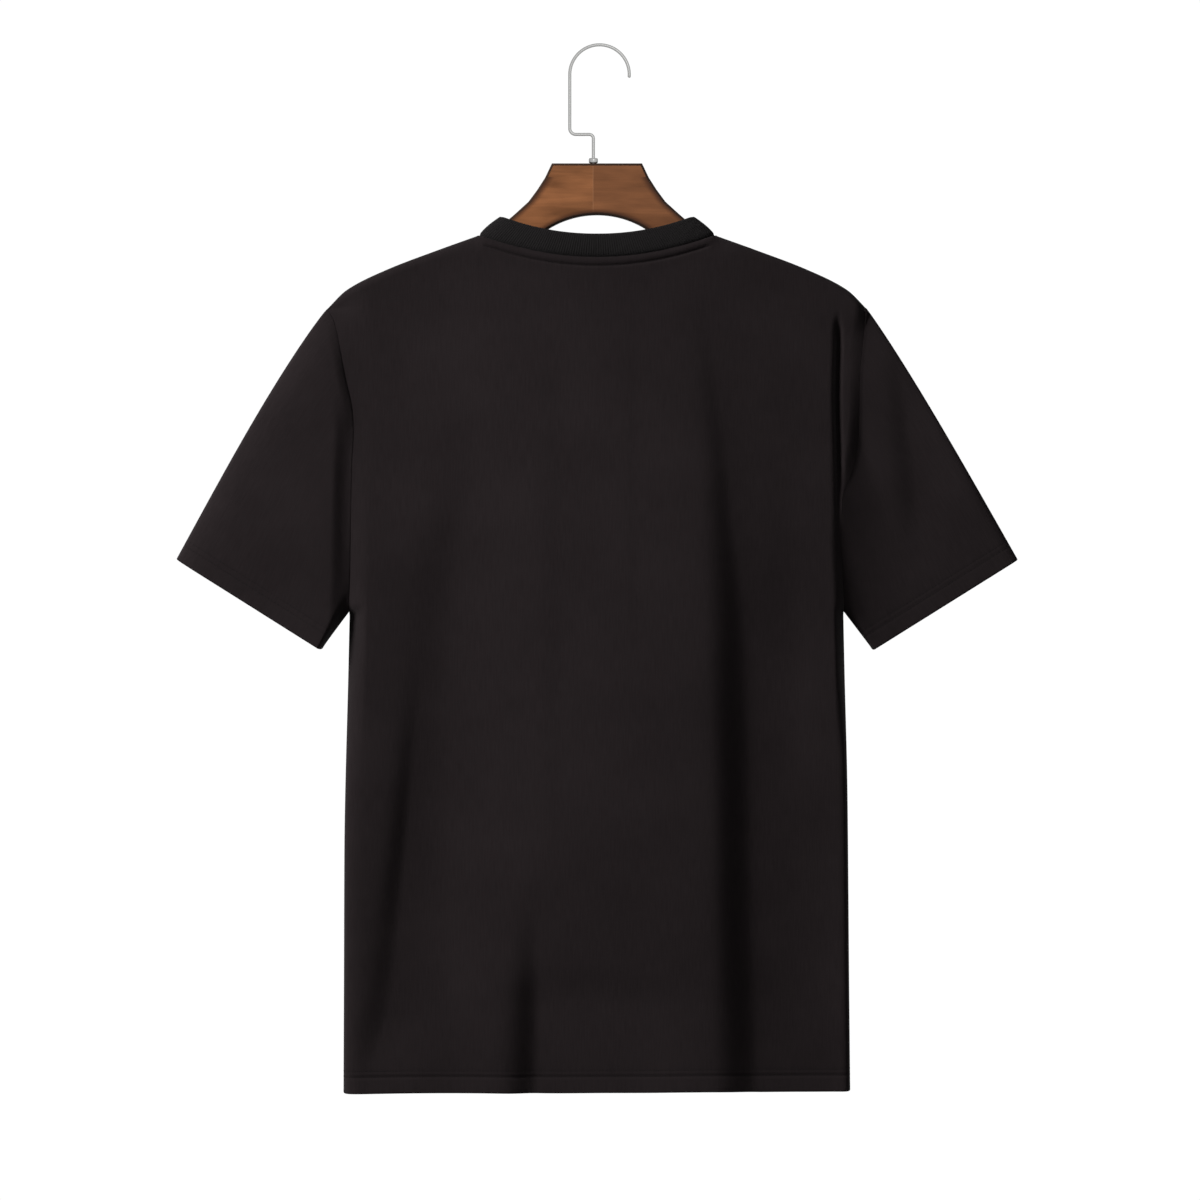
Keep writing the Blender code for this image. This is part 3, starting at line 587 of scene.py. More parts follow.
# %% From a grid of points to a piece of cloth
def cloth_from_grid(name, points, outward, thickness=CLOTH):
    """A grid primitive with its corners at the given points and its UV map in metres."""
    rows, columns = points.shape[:2]
    select_only()
    bpy.ops.mesh.primitive_grid_add(x_subdivisions=columns - 1, y_subdivisions=rows - 1, size=1.0)
    item = named(name)
    item.data.vertices.foreach_set("co", points.astype(np.float32).ravel())
    across = np.linalg.norm(np.diff(points, axis=1), axis=2)
    up = np.linalg.norm(np.diff(points, axis=0), axis=2)
    u = np.concatenate((np.zeros((rows, 1)), np.cumsum(across, axis=1)), axis=1)
    v = np.concatenate((np.zeros((1, columns)), np.cumsum(up, axis=0)), axis=0)
    u -= u[:, columns // 2][:, None]
    corners = np.empty(len(item.data.loops), dtype=np.int32)
    item.data.loops.foreach_get("vertex_index", corners)
    flat = np.stack((u.ravel(), v.ravel()), axis=1)[corners]
    item.data.uv_layers[0].data.foreach_set("uv", flat.astype(np.float32).ravel())
    item.data.update()
    middle = item.data.polygons[len(item.data.polygons) // 2]
    if middle.normal.dot(Vector(outward)) < 0.0:
        item.data.flip_normals()
    item.data.shade_smooth()
    if thickness:
        wall = item.modifiers.new("thickness", "SOLIDIFY")
        wall.thickness = thickness
        wall.offset = -1.0
        wall.use_even_offset = False
    print(f"{name}: grid {rows} x {columns}, {np.ptp(u):.3f} x {np.ptp(v):.3f} m along the cloth")
    return item


# %% Make the back and the front
TOP_LIP = 0.0007


def make_panel(name, panel):
    """One body panel, its outer grid and its normals."""
    grid = panel_grid(panel)
    normals = grid_normals(grid, -panel["y"])
    turned = []
    for side, at in ((-1, 0), (1, -1)):
        line = grid[:, at]
        facing = np.where((line[:, 2] > PIT_Z)[:, None],
                          armhole_facing(side, line[:, 2], panel["y"]), np.array([side, 0.0, 0.0]))
        turned.append(turn_in(line, facing, panel["y"]))
    wide = widen(turned[0], grid, turned[1])
    wide_normals = grid_normals(wide, -panel["y"])
    top = wide[-1] - wide_normals[-1] * TOP_LIP
    top[:, 1] = panel["y"] * np.maximum(panel["y"] * top[:, 1], 2.0 * SEAM_HALF)
    full = np.concatenate((turn_up(wide, wide_normals, np.array([0.0, 0.0, -1.0])), top[None]))
    return cloth_from_grid(name, full, (0, panel["y"], 0)), grid, normals


back, *back_shape = make_panel("cloth_back", BACK)
front, *front_shape = make_panel("cloth_front", FRONT)

# %% [markdown]
# ## The sleeves
# A short sleeve is one piece, closed by a seam under the arm. Its grid starts and ends at that
# seam, and goes round over the shoulder. Each column runs from the armhole to the cuff. Beside
# the armhole the seam allowances push the cloth, so it rises or sinks a little, and in another
# way at each height.

# %% Sizes of the sleeves
SLEEVE_CROWN, CROWN_EARLY = {-1: 0.0048, 1: 0.003}, 0.7
CROWN_WAY = np.array([0.86, 0.0, 0.5])
RING_EVEN = 0.45
RING_BELOW = [0.0, 0.0008, 0.0024, 0.005, 0.009, 0.016, 0.25]
RING_INDEX = [0, 1, 2, 3, 4, 5, 13]
FLANK_Z = {-1: [PIT_Z, -0.42, -0.36, -0.33, -0.302, -0.277, -0.25, -0.224],
           1: [PIT_Z, -0.372, -0.35, -0.32, -0.24, -0.224]}
NEAR_RISE = {-1: [0.0, 0.0, 0.0, 0.0006, 0.003, 0.0048, 0.003, 0.0012],
             1: [0.0, 0.0, -0.0012, -0.002, -0.0022, -0.0006]}
WIDE_RISE = {-1: [0.003, 0.005, 0.0056, 0.0048, 0.0022, 0.0, 0.0, 0.0], 1: [0.0] * 6}
NEAR_WIDTH = {-1: 0.0085, 1: 0.0035}
WIDE_WIDTH, WIDE_LATE = 0.016, 1.4
SLEEVE_OPEN, OPEN_SHORT = {-1: 0.09, 1: 0.15}, 0.1
CROWN_EDGE, UNDERARM_EDGE = {-1: 0.04, 1: 0.014}, 0.003
SLEEVE_SQUARE = 3.0
CUFF_HALF = {(-1, -1): 0.018, (1, -1): 0.0085, (-1, 1): 0.024, (1, 1): 0.026}
CUFF_TILT = {-1: 0.012, 1: 0.0}
CUFF_FLARE = CUFF_GROOVE = 0.0003
SLEEVE_GROOVE = 0.0004, 0.0, 0.001
THIN_PLACE = 0.012
FLANK_PLACE = 0.014
AROUND, SLEEVE_ROWS, ROW_CROWD = 60, 74, 1.35

# %% Folds of the sleeves
# They are in millimetres again. A key gives the sleeve, and -1 for its back or 1 for its front.
SLEEVE_FOLDS = {
    (-1, -1): [[(-300, -290, 0, 16, 26), (-360, -285, 0.8), (-420, -282, 0, 14)]],
    (1, -1): [[(-250, 250, 0, 11, 30), (-270, 253, 5.2), (-320, 259.5, 8.4, 12),
               (-360, 265, 7.6, 14), (-405, 268, 2.6), (-440, 270, 0)]],
    (-1, 1): [[(-260, -248, 0, 18, 12), (-330, -256, 3.4), (-430, -268, 0, 20, 14)],
              [(-340, -296, 0, 14, 10), (-400, -298, 1.4), (-460, -300, 0, 14, 12)]],
    (1, 1): [[(-265, 250, 0, 12, 22), (-340, 256, 3.2), (-440, 262, 0, 14, 24)]],
}


# %% Shape of a sleeve
def beside_armhole(side, x, z):
    """How far a sleeve rises above its seam in the first centimetres beside it."""
    z = np.clip(z, PIT_Z, TIP_Z)
    gap = np.maximum(np.abs(x) - edge_x(side, z), 0.0)
    near = np.sin(0.5 * math.pi * np.minimum(gap / NEAR_WIDTH[side], 1.0))
    wide = smooth(np.minimum(gap / WIDE_WIDTH, 1.0) ** WIDE_LATE)
    near_rise, wide_rise = (curve(FLANK_Z[side], rise[side], z) for rise in (NEAR_RISE, WIDE_RISE))
    return near_rise * near + wide_rise * wide


def cuff_line(side, part, y_side, z):
    """The cuff's points for the places round a sleeve, and how rounded it is at each."""
    evenly = np.interp(TIP_Z - z, RING_BELOW, RING_INDEX) / RING_INDEX[-1]
    across = 0.5 * (1.0 - np.cos(math.pi * (part + RING_EVEN * (evenly - part))))
    along = CUFF_INNER - CUFF_OUTER
    line = CUFF_OUTER + along * across[:, None] + CUFF_SHIFT[side] * SLEEVE_WAY
    line = line * np.array([side, 1.0, 1.0])
    from_fold = np.linalg.norm(along) * np.minimum(across / CROWN_EDGE[side],
                                                   (1.0 - across) / UNDERARM_EDGE)
    rolled = rounded(np.minimum(from_fold, 1.0), SLEEVE_SQUARE)
    half = np.where(y_side < 0, CUFF_HALF[side, -1], CUFF_HALF[side, 1])
    line[:, 1] = y_side * rolled * (half + CUFF_TILT[side] * (across - 0.5))
    return line, rolled, across


def sleeve_grid(side):
    """Outer points of a sleeve, row by row from the cuff up to the armhole."""
    q = np.linspace(-1.0, 1.0, 2 * AROUND + 1)
    y_side = np.where(q < 0, -1.0, 1.0)
    part = 0.5 * (1.0 - np.cos(math.pi * q))
    z = TIP_Z - part * (TIP_Z - PIT_Z)
    seam_x = side * (edge_x(side, z) + SEAM_HALF)
    seam = np.stack((seam_x, y_side * armhole_bow(side, z), z), axis=1)
    cuff, rolled, across = cuff_line(side, part, y_side, z)
    run = np.hypot(cuff[:, 0] - seam[:, 0], cuff[:, 2] - seam[:, 2])
    from_cuff = LOW_ROWS[:, None] / run
    rest = 1.0 - np.arange(SLEEVE_ROWS)[:, None] / SLEEVE_ROWS
    upper = (1.0 - from_cuff[-1]) * rest ** ROW_CROWD
    share = np.concatenate((1.0 - from_cuff[:-1], upper, np.zeros((1, len(q)))))
    point = seam + (cuff - seam) * share[..., None]
    lift = SLEEVE_CROWN[side] * np.sin(math.pi * share[..., None] ** CROWN_EARLY)
    crown = np.maximum(1.0 - 2.0 * across[:, None], 0.0) ** 2
    point = point + CROWN_WAY * np.array([side, 1.0, 1.0]) * lift * crown
    open_at = SLEEVE_OPEN[side] * np.minimum(run / OPEN_SHORT, 1.0)
    opened = 1.0 - (1.0 - np.minimum(share * run / open_at, 1.0)) ** 2
    low, high = np.abs(seam[:, 1]), np.abs(cuff[:, 1])
    x, height = point[..., 0], point[..., 2]
    shape = np.minimum(low / FLANK_PLACE, 1.0)
    depth = low + (high - low) * opened
    depth = depth + beside_armhole(side, x, height) * (shape + (rolled - shape) * opened)
    relief = hem_relief((1.0 - share) * run, CUFF_FLARE, CUFF_GROOVE)
    relief -= ridge(share * run, *SLEEVE_GROOVE)
    folds = np.where(y_side < 0, fold_depth(SLEEVE_FOLDS[side, -1], x, height),
                     fold_depth(SLEEVE_FOLDS[side, 1], x, height))
    depth = depth + (relief - folds) * np.minimum(depth / THIN_PLACE, 1.0)
    point[..., 1] = y_side * np.maximum(depth, 0.0)
    return point, z, y_side


# %% Make the sleeves
def make_sleeve(name, side):
    """One sleeve, its outer grid and its normals."""
    grid, z, y_side = sleeve_grid(side)
    normals = grid_normals(grid, side)
    turned = [turn_in(grid[:, at], unit(normals[:, at] * np.array([1.0, 0.0, 1.0])), keep)
              for at, keep in ((0, -1), (-1, 1))]
    wide = widen(turned[0], grid, turned[1])
    wide_normals = grid_normals(wide, side)
    facing = np.pad(armhole_facing(side, z, y_side), ((len(ALLOWANCE),) * 2, (0, 0)), mode="edge")
    rim = [wide[-1] - facing * depth for depth in ALLOWANCE]
    full = np.concatenate((turn_up(wide, wide_normals, unit(wide[0] - wide[1])), np.array(rim)))
    return cloth_from_grid(name, full, normals[len(grid) // 2, AROUND]), grid, normals


sleeve_left, *left_shape = make_sleeve("cloth_sleeve_left", -1)
sleeve_right, *right_shape = make_sleeve("cloth_sleeve_right", 1)

# %% [markdown]
# ## The neck band
# The band is a strip of one-by-one rib, folded in half along its length and sewn to the
# neckline, a little stretched, so that it leans in. Its ribs are soft ridges across the band,
# and they are real relief here, because the band is looked at closely.

# %% Shape of the neck band
BAND_HALF = 0.08
BAND_Z = -0.1411
BAND_LINE = {-1: (0.0149, 2.1, 1.0, 0.0128), 1: (0.081, 2.6, 0.85, 0.022)}
BAND_EDGE = 0.001
BAND_ROLL, ROLL_LOW = 0.0011, 0.8
BAND_ALLOWANCE = 0.0035
BAND_GAP = 0.0003
SEAM_SINK, SINK_TO = 0.0008, 0.1
RIB_PITCH, RIB_RELIEF = 0.0021, 0.00016
RIB_POINTS, RIBS_FROM, RIBS_ON_FOLD = 6, 0.05, 0.8
NECK_TIP_LIFT, TIP_LIFT_POWER = 1.7, 6
JUST_INSIDE = 0.999999
DENSE, OFF_CORNER = 4001, 1e-6
WELD = 0.00001
# Rows round the band's section, as shares of its height, angles and pairs of height and depth
BAND_OUTSIDE = (0.0, 0.03, 0.08, 0.2, 0.35, 0.5, 0.65, 0.8, 0.92, 1.0)
BAND_FOLD = (35, 65, 90, 115, 145)
BAND_INSIDE = (1.0, 0.8, 0.55, 0.3, 0.1, 0.0)
BAND_HIDDEN = ((-BAND_ALLOWANCE, 0.0022), (-BAND_ALLOWANCE, 0.0012), (0.0, 0.0011))


def neck_facing(x, y_side, half, reach):
    """The way that the band's wall faces: out in plan, and up towards the neck points."""
    share = np.minimum(np.abs(x / half), 1.0)
    out_x = np.sign(x) * share ** (NECK_SQUARE - 1.0) / half
    out_y = y_side * (reach_at(x, half, reach) / reach) ** (NECK_SQUARE - 1.0) / reach
    plan = unit(np.stack((out_x, out_y), axis=-1))
    lift = NECK_TIP_LIFT * plan[:, 0] ** TIP_LIFT_POWER
    return unit(np.stack((plan[:, 0], plan[:, 1], lift), axis=-1))


def neck_ring(turn):
    """For angles round the neck: points of the seam and the top edge, and both facings."""
    power = 2.0 / NECK_SQUARE
    x = NECK_HALF * np.sign(np.cos(turn)) * np.abs(np.cos(turn)) ** power
    parts = []
    for panel in (BACK, FRONT):
        drop, bend, roundness, reach = BAND_LINE[panel["y"]]
        low_y = panel["y"] * reach_at(x, NECK_HALF, panel["reach"])
        low = np.stack((x, low_y, top_z(x * JUST_INSIDE, panel)), axis=1)
        high_x = x * BAND_HALF / NECK_HALF
        high_z = scoop(high_x, BAND_HALF, BAND_Z, drop, bend, roundness)
        high = np.stack((high_x, panel["y"] * reach_at(high_x, BAND_HALF, reach), high_z), axis=1)
        parts.append((low, high, neck_facing(x, panel["y"], NECK_HALF, panel["reach"]),
                      neck_facing(high_x, panel["y"], BAND_HALF, reach)))
    in_back = (np.sin(turn) < 0.0)[:, None]
    return [np.where(in_back, for_back, for_front) for for_back, for_front in zip(*parts)]


# %% Make the neck band
def make_band():
    """The ribbed band as a closed ring, with its ribs evenly spaced along the seam."""
    dense = np.linspace(0.0, 2.0 * math.pi, DENSE) + OFF_CORNER
    length = lengths_along(neck_ring(dense)[0])
    ribs = round(length[-1] / RIB_PITCH)
    corner = np.arange(RIB_POINTS * ribs + 1)
    turn = np.interp(corner / (RIB_POINTS * ribs) * length[-1], length, dense)
    low, high, low_facing, high_facing = neck_ring(turn)
    rise = np.linalg.norm(high - low, axis=1)[:, None]
    way = (high - low) / rise
    ridges = np.cos(2.0 * math.pi * corner / RIB_POINTS)[:, None]
    rows = []

    def add_row(up, depth, relief):
        """A row round the band, with its depth in the wall and its share of the ribs."""
        share = np.clip(up / rise, 0.0, 1.0)
        facing = unit(low_facing + (high_facing - low_facing) * share)
        roll = BAND_ROLL * np.sin(math.pi * share ** ROLL_LOW)
        rows.append(low + way * up + facing * (roll - depth + relief * RIB_RELIEF * ridges))

    full = rise - BAND_EDGE
    for share in BAND_OUTSIDE:
        add_row(BAND_GAP + (full - BAND_GAP) * share, SEAM_SINK * (1.0 - smooth(share / SINK_TO)),
                min(share / RIBS_FROM, 1.0))
    for turn in np.radians(BAND_FOLD):
        add_row(full + BAND_EDGE * math.sin(turn), BAND_EDGE * (1.0 - math.cos(turn)), RIBS_ON_FOLD)
    for share in BAND_INSIDE:
        add_row(BAND_GAP + (full - BAND_GAP) * share, 2.0 * BAND_EDGE, -min(share / RIBS_FROM, 1.0))
    for up, depth in BAND_HIDDEN:
        add_row(np.full_like(rise, up), depth, 0.0)
    rows.append(rows[0])
    band = cloth_from_grid("rib_neck_band", np.array(rows), (0, -1, 0), thickness=0.0)
    select_only(band)
    edit_all()
    bpy.ops.mesh.remove_doubles(threshold=WELD)
    face_outwards()
    print("neck band:", ribs, "ribs round", f"{length[-1]:.3f} m")
    return band


band = make_band()

# %% [markdown]
# ## The thread
# The hems are sewn with a twin needle, two rows 4.8 mm apart, and the neck has one row of
# topstitching below its seam. One stitch is modelled once as a small smooth bead. Its copies
# then follow each row, half sunk into the groove that the needle pulled into the cloth.

# %% One stitch, and a row of them
STITCH = 0.0025
STITCH_GAP = 0.0006
THREAD, FLATTENED = 0.00042, 0.8
TOPSTITCH_END = 0.002
select_only()
bpy.ops.mesh.primitive_ico_sphere_add(subdivisions=2, radius=0.5)
bead = bpy.context.object.data
bead_points = np.array([tuple(v.co) for v in bead.vertices])
bead_points *= np.array([STITCH, THREAD, FLATTENED * THREAD])
bead_faces = np.array([tuple(p.vertices) for p in bead.polygons])
bpy.data.objects.remove(bpy.context.object)


def stitch_row(route, normals):
    """Stitches along a route, as their middles and their three ways."""
    length = lengths_along(route)
    at = np.arange(0.5 * STITCH, length[-1] - 0.5 * STITCH, STITCH + STITCH_GAP)

    def read(values, where):
        """Values along the route at the given distances."""
        return np.stack([np.interp(where, length, column) for column in values.T], axis=1)

    middle = read(route, at)
    along = unit(read(route, at + 0.4 * STITCH) - read(route, at - 0.4 * STITCH))
    up = unit(read(normals, at))
    side = unit(np.cross(up, along))
    return middle, along, side, unit(np.cross(along, side))


def sew(name, rows):
    """One object of stitches along several rows."""
    points, faces = [], []
    for route, normals in rows:
        for middle, along, side, up in zip(*stitch_row(route, normals)):
            faces.append(bead_faces + len(points) * len(bead_points))
            points.append(middle + bead_points @ np.array([along, side, up]))
    mesh = bpy.data.meshes.new(name)
    mesh.from_pydata(np.concatenate(points).tolist(), [], np.concatenate(faces).tolist())
    mesh.shade_smooth()
    item = bpy.data.objects.new(name, mesh)
    bpy.context.scene.collection.objects.link(item)
    print(name, "has", len(points), "stitches")
    return item


# %% Sew the hems, the cuffs and the neck
def hem_rows(grid, normals):
    """The two needle rows of a hem."""
    rows = [int(np.argmin(np.abs(LOW_ROWS - height))) for height in NEEDLE_ROWS]
    return [(grid[row], normals[row]) for row in rows]


def neck_row(grid, normals):
    """The topstitching along a neckline."""
    row = len(grid) - len(TOP_ROWS) + int(np.argmin(np.abs(TOP_ROWS - TOPSTITCH)))
    near = np.abs(grid[row, :, 0]) < NECK_HALF - TOPSTITCH_END
    return [(grid[row, near], normals[row, near])]


threads = {"thread_" + part: sew("thread_" + part, hem_rows(*shape) + neck_row(*shape))
           for part, shape in (("back", back_shape), ("front", front_shape))}
threads.update({"thread_" + part: sew("thread_" + part, hem_rows(*shape))
                for part, shape in (("sleeve_left", left_shape), ("sleeve_right", right_shape))})

# %% [markdown]
# ## The hanger
# A flat hanger is sawn from boards about 10 mm thick, glued at the middle, and its edges are
# rounded over. A disc with as many corners as the outline needs becomes the outline when its
# corners are moved, and is then extruded for its thickness and bevelled.

# %% Outline of the wood
WOOD_THICK = 0.01
WOOD_EDGE = 0.0024
WOOD_TOP_Z = -0.0972
WOOD_UPPER = [(0.0374, WOOD_TOP_Z), (0.043, -0.109), (0.0494, -0.119), (0.0568, -0.129),
              (0.068, -0.1392), (0.08, -0.1495), (0.09, -0.1583), (0.099, -0.165)]
WOOD_ARM_AT = [0.132, 0.16, 0.184]
PACKED_WALL, WALL_SLANT, WOOD_GAP = 0.0014, 1.08, 0.0009
WOOD_BELOW_CLOTH = PACKED_WALL * WALL_SLANT + WOOD_GAP
WOOD_LOWER = [(0.145, -0.206), (0.09, -0.187)]
TIP_MIDDLE, TIP_RADIUS = (0.188, -0.2085), 0.0125
TIP_TURNS = range(60, -91, -15)
ARCH_Z, ARCH_RADIUS, ARCH_TO, ARCH_STEPS = -0.14, 0.076, 0.055, 16


def wood_outline():
    """The outline as (x, z), from the middle of the top round the right side and back."""
    right = list(WOOD_UPPER)
    for x in WOOD_ARM_AT:
        right.append((x, float(curve(SHOULDER_X, SHOULDER_Z, x)) - WOOD_BELOW_CLOTH))
    for turn in map(math.radians, TIP_TURNS):
        right.append((TIP_MIDDLE[0] + TIP_RADIUS * math.cos(turn),
                      TIP_MIDDLE[1] + TIP_RADIUS * math.sin(turn)))
    right += WOOD_LOWER
    for step in range(ARCH_STEPS, -1, -1):
        x = ARCH_TO * step / ARCH_STEPS
        right.append((x, ARCH_Z - ARCH_RADIUS + math.sqrt(ARCH_RADIUS ** 2 - x ** 2)))
    return right + [(-x, z) for x, z in reversed(right[:-1])]


# %% Saw it out, give it thickness and round its edges over
outline = wood_outline()
select_only()
bpy.ops.mesh.primitive_circle_add(vertices=len(outline), radius=0.1, fill_type="NGON")
wood = named("wood_hanger")
for corner, (x, z) in zip(wood.data.vertices, outline):
    corner.co = (x, -0.5 * WOOD_THICK, z)
edit_all()
run_to((0, WOOD_THICK, 0))
face_outwards()
corners = wood.data.vertices
edit(wood, "EDGE", lambda edge: math.prod(corners[end].co.y for end in edge.vertices) > 0.0)
bpy.ops.mesh.bevel(offset=WOOD_EDGE, segments=4, profile=0.5, clamp_overlap=True)
bpy.ops.object.mode_set(mode="OBJECT")
shade(wood, 40)

# %% [markdown]
# ## The hook
# The hook is one bent wire. It is shaped as in a workshop: the round section is drawn out along
# each straight run, by extrude, and turned about a centre at each bend, by spin.

# %% Sizes of the hook
WIRE = 0.0026
CROWN_X, CROWN_RADIUS = 0.0021, 0.0247
CROWN_Z = -math.sqrt((CROWN_RADIUS - 0.5 * WIRE) ** 2 - CROWN_X ** 2)
CROWN_END = 4.0
JOG_Z = -0.073
LEG_BEND, STEM_BEND = 0.005, 0.0034
STEM_X = -0.003
STEM_IN_WOOD = 0.022
DOME = (0.0004, 0.88), (0.0003, 0.7), (0.0002, 0.5)


# %% Bend the wire
def bend_about(x, z, degrees, steps):
    """Turn the selected section about a centre in the plane of the hook."""
    bpy.ops.mesh.spin(steps=steps, angle=math.radians(degrees), center=(x, 0, z), axis=(0, 1, 0))


select_only()
leg_x = CROWN_X - CROWN_RADIUS
end_turn = math.radians(-CROWN_END)
free_end = (CROWN_X + CROWN_RADIUS * math.cos(end_turn), 0,
            CROWN_Z + CROWN_RADIUS * math.sin(end_turn))
bpy.ops.mesh.primitive_circle_add(vertices=20, radius=0.5 * WIRE, fill_type="NOTHING",
                                  location=free_end, rotation=(0, math.radians(CROWN_END), 0))
hook = named("wire_hook")
bpy.ops.object.transform_apply(location=True, rotation=True, scale=True)
edit_all()
bend_about(CROWN_X, CROWN_Z, 180.0 + CROWN_END, 64)
run_to((0, 0, JOG_Z + LEG_BEND - CROWN_Z))
bend_about(leg_x + LEG_BEND, JOG_Z + LEG_BEND, 90.0, 12)
run_to((STEM_X - STEM_BEND - leg_x - LEG_BEND, 0, 0))
bend_about(STEM_X - STEM_BEND, JOG_Z - STEM_BEND, -90.0, 10)
run_to((0, 0, WOOD_TOP_Z - STEM_IN_WOOD - JOG_Z + STEM_BEND))
bpy.ops.mesh.fill()
bpy.ops.mesh.select_all(action="DESELECT")
bpy.ops.object.mode_set(mode="OBJECT")

# %% Close the hook's free end with a small dome
edit(hook, "VERT", lambda corner: (corner.co - Vector(free_end)).length < 0.5 * WIRE + 1e-5)
for drop, keep in DOME:
    run_to((0, 0, -drop))
    bpy.ops.transform.resize(value=(keep, keep, 1.0))
bpy.ops.mesh.fill()
face_outwards()
shade(hook, 50)

# %% [markdown]
# ## The collar
# Where the wire enters the wood there is a small pressed collar. It is a short cylinder with a
# hole for the wire, rounded over at its top.

# %% Turn the collar
COLLAR_RADIUS, COLLAR_HEIGHT = 0.0038, 0.0042
COLLAR_LIFT, COLLAR_FIT, COLLAR_EDGE = 0.0003, 0.00012, 0.0011
select_only()
collar_z = WOOD_TOP_Z + COLLAR_LIFT + 0.5 * COLLAR_HEIGHT
bpy.ops.mesh.primitive_cylinder_add(vertices=40, radius=COLLAR_RADIUS, depth=COLLAR_HEIGHT,
                                    location=(STEM_X, 0, collar_z))
collar = named("collar")
bpy.ops.object.transform_apply(location=True, rotation=True, scale=True)
edit(collar, "FACE", lambda face: abs(face.normal.z) > 0.9)
bpy.ops.mesh.inset(thickness=COLLAR_RADIUS - 0.5 * WIRE - COLLAR_FIT)
bpy.ops.mesh.bridge_edge_loops()
face_outwards()
soften = collar.modifiers.new("rounded", "BEVEL")
soften.width = COLLAR_EDGE
soften.segments = 4
soften.limit_method = "ANGLE"
apply_all(collar)
shade(collar, 50)

# %% [markdown]
# ## Materials
# All patterns are made by nodes. The knit follows each cloth's own UV map, which is in metres,
# so its loops have the same size on every piece. Wood grain reads the object's coordinates.


# %% Parts that the finishes share
def new_material(name, colour, settings):
    """A Principled material, its node tree and its shader."""
    material = bpy.data.materials.new(name)
    material.use_nodes = True
    shader = material.node_tree.nodes["Principled BSDF"]
    for socket, value in {"Base Color": (*colour, 1.0), **settings}.items():
        shader.inputs[socket].default_value = value
    return material, material.node_tree, shader


def noise(tree, place, scale=1.0, detail=2.0, **settings):
    """Soft noise at a place."""
    return add(tree, "TexNoise", {"Vector": place, "Scale": scale, "Detail": detail, **settings})


def drawn_out(tree, place, scale, angle=0.0, detail=2.0, **settings):
    """Noise with its own scale for each axis, turned about Y."""
    turned = add(tree, "Mapping", {"Vector": place, "Rotation": (0.0, math.radians(angle), 0.0),
                                   "Scale": scale})
    return noise(tree, turned, 1.0, detail, **settings)


def mixed(tree, first, second, share=0.5):
    """Two patterns added up, the second by a share."""
    return maths(tree, "ADD", maths(tree, "MULTIPLY", first, 1.0 - share),
                 maths(tree, "MULTIPLY", second, share))


def ramp(tree, pattern, knots):
    """Colours along a pattern, from knots of a place and a colour."""
    node = tree.nodes.new("ShaderNodeValToRGB")
    stops = node.color_ramp.elements
    stops.remove(stops[-1])
    for number, (place, colour) in enumerate(knots):
        stop = stops[0] if number == 0 else stops.new(place)
        stop.position, stop.color = place, (*colour, 1.0)
    tree.links.new(pattern, node.inputs["Fac"])
    return node.outputs["Color"]


def coat(tree, under, share, colour):
    """A colour laid over another, as strongly as a share says."""
    return add(tree, "MixRGB", {"Fac": share, "Color1": under, "Color2": (*colour, 1.0)})


def roughen(tree, shader, pattern, low, high):
    """Let the roughness follow a pattern."""
    tree.links.new(mapped(tree, pattern, (0.0, 1.0), (low, high)), shader.inputs["Roughness"])


def emboss(tree, shader, height, strength, depth):
    """Let a height show as relief."""
    relief = add(tree, "Bump", {"Height": height, "Strength": strength, "Distance": depth})
    tree.links.new(relief, shader.inputs["Normal"])


# %% Black jersey
# Jersey shows columns of small V shapes. Each column is a wale. The height of a V is a wave
# along the column whose phase shifts to the sides of the wale.
WALE, COURSE = 0.0009, 0.0007
SLANT = 1.6
ALONG_WALE, ACROSS_WALE = 60.0, 900.0
DYE_FAINT, DYE_STRONG = (0.35, 0.86), (0.65, 1.14)


def knit_height(tree, u, v, wale, course):
    """Height of a knit pattern from a place on the cloth in metres, from 0 to 1."""
    across = maths(tree, "PINGPONG", maths(tree, "DIVIDE", u, wale), 0.5)
    slant = maths(tree, "MULTIPLY_ADD", across, SLANT, maths(tree, "DIVIDE", v, course))
    wave, strand = (maths(tree, "SINE", maths(tree, "MULTIPLY", turn, 2.0 * math.pi))
                    for turn in (slant, across))
    return maths(tree, "MULTIPLY", maths(tree, "MULTIPLY_ADD", wave, 0.25, 0.75), strand)


def cloth_material(name, colour, roughness, wale, course, depth):
    """Dyed cotton: knit relief, faint streaks along the wales and a little soft sheen."""
    material, tree, shader = new_material(name, colour, {
        "Roughness": roughness, "Specular IOR Level": 0.03,
        "Sheen Weight": 0.02, "Sheen Roughness": 0.5})
    u, v, _ = apart(tree, add(tree, "UVMap", uv_map="UVMap"))
    stretched = add(tree, "CombineXYZ", {0: maths(tree, "MULTIPLY", u, ACROSS_WALE),
                                         1: maths(tree, "MULTIPLY", v, ALONG_WALE)})
    blotches = noise(tree, add(tree, "TexCoord", out="Object"), 14.0, 3.0)
    dye = ramp(tree, mixed(tree, noise(tree, stretched), blotches),
               [(at, [dark * c for c in colour]) for at, dark in (DYE_FAINT, DYE_STRONG)])
    tree.links.new(dye, shader.inputs["Base Color"])
    emboss(tree, shader, knit_height(tree, u, v, wale, course), 0.35, depth)
    return material


jersey = cloth_material("black_jersey", (0.0152, 0.012, 0.0126), 0.85, WALE, COURSE, 0.0003)
rib = cloth_material("black_rib", (0.0125, 0.0115, 0.0117), 0.88, 0.00105, 0.00075, 0.00025)
print("knit: wale", WALE, "course", COURSE)

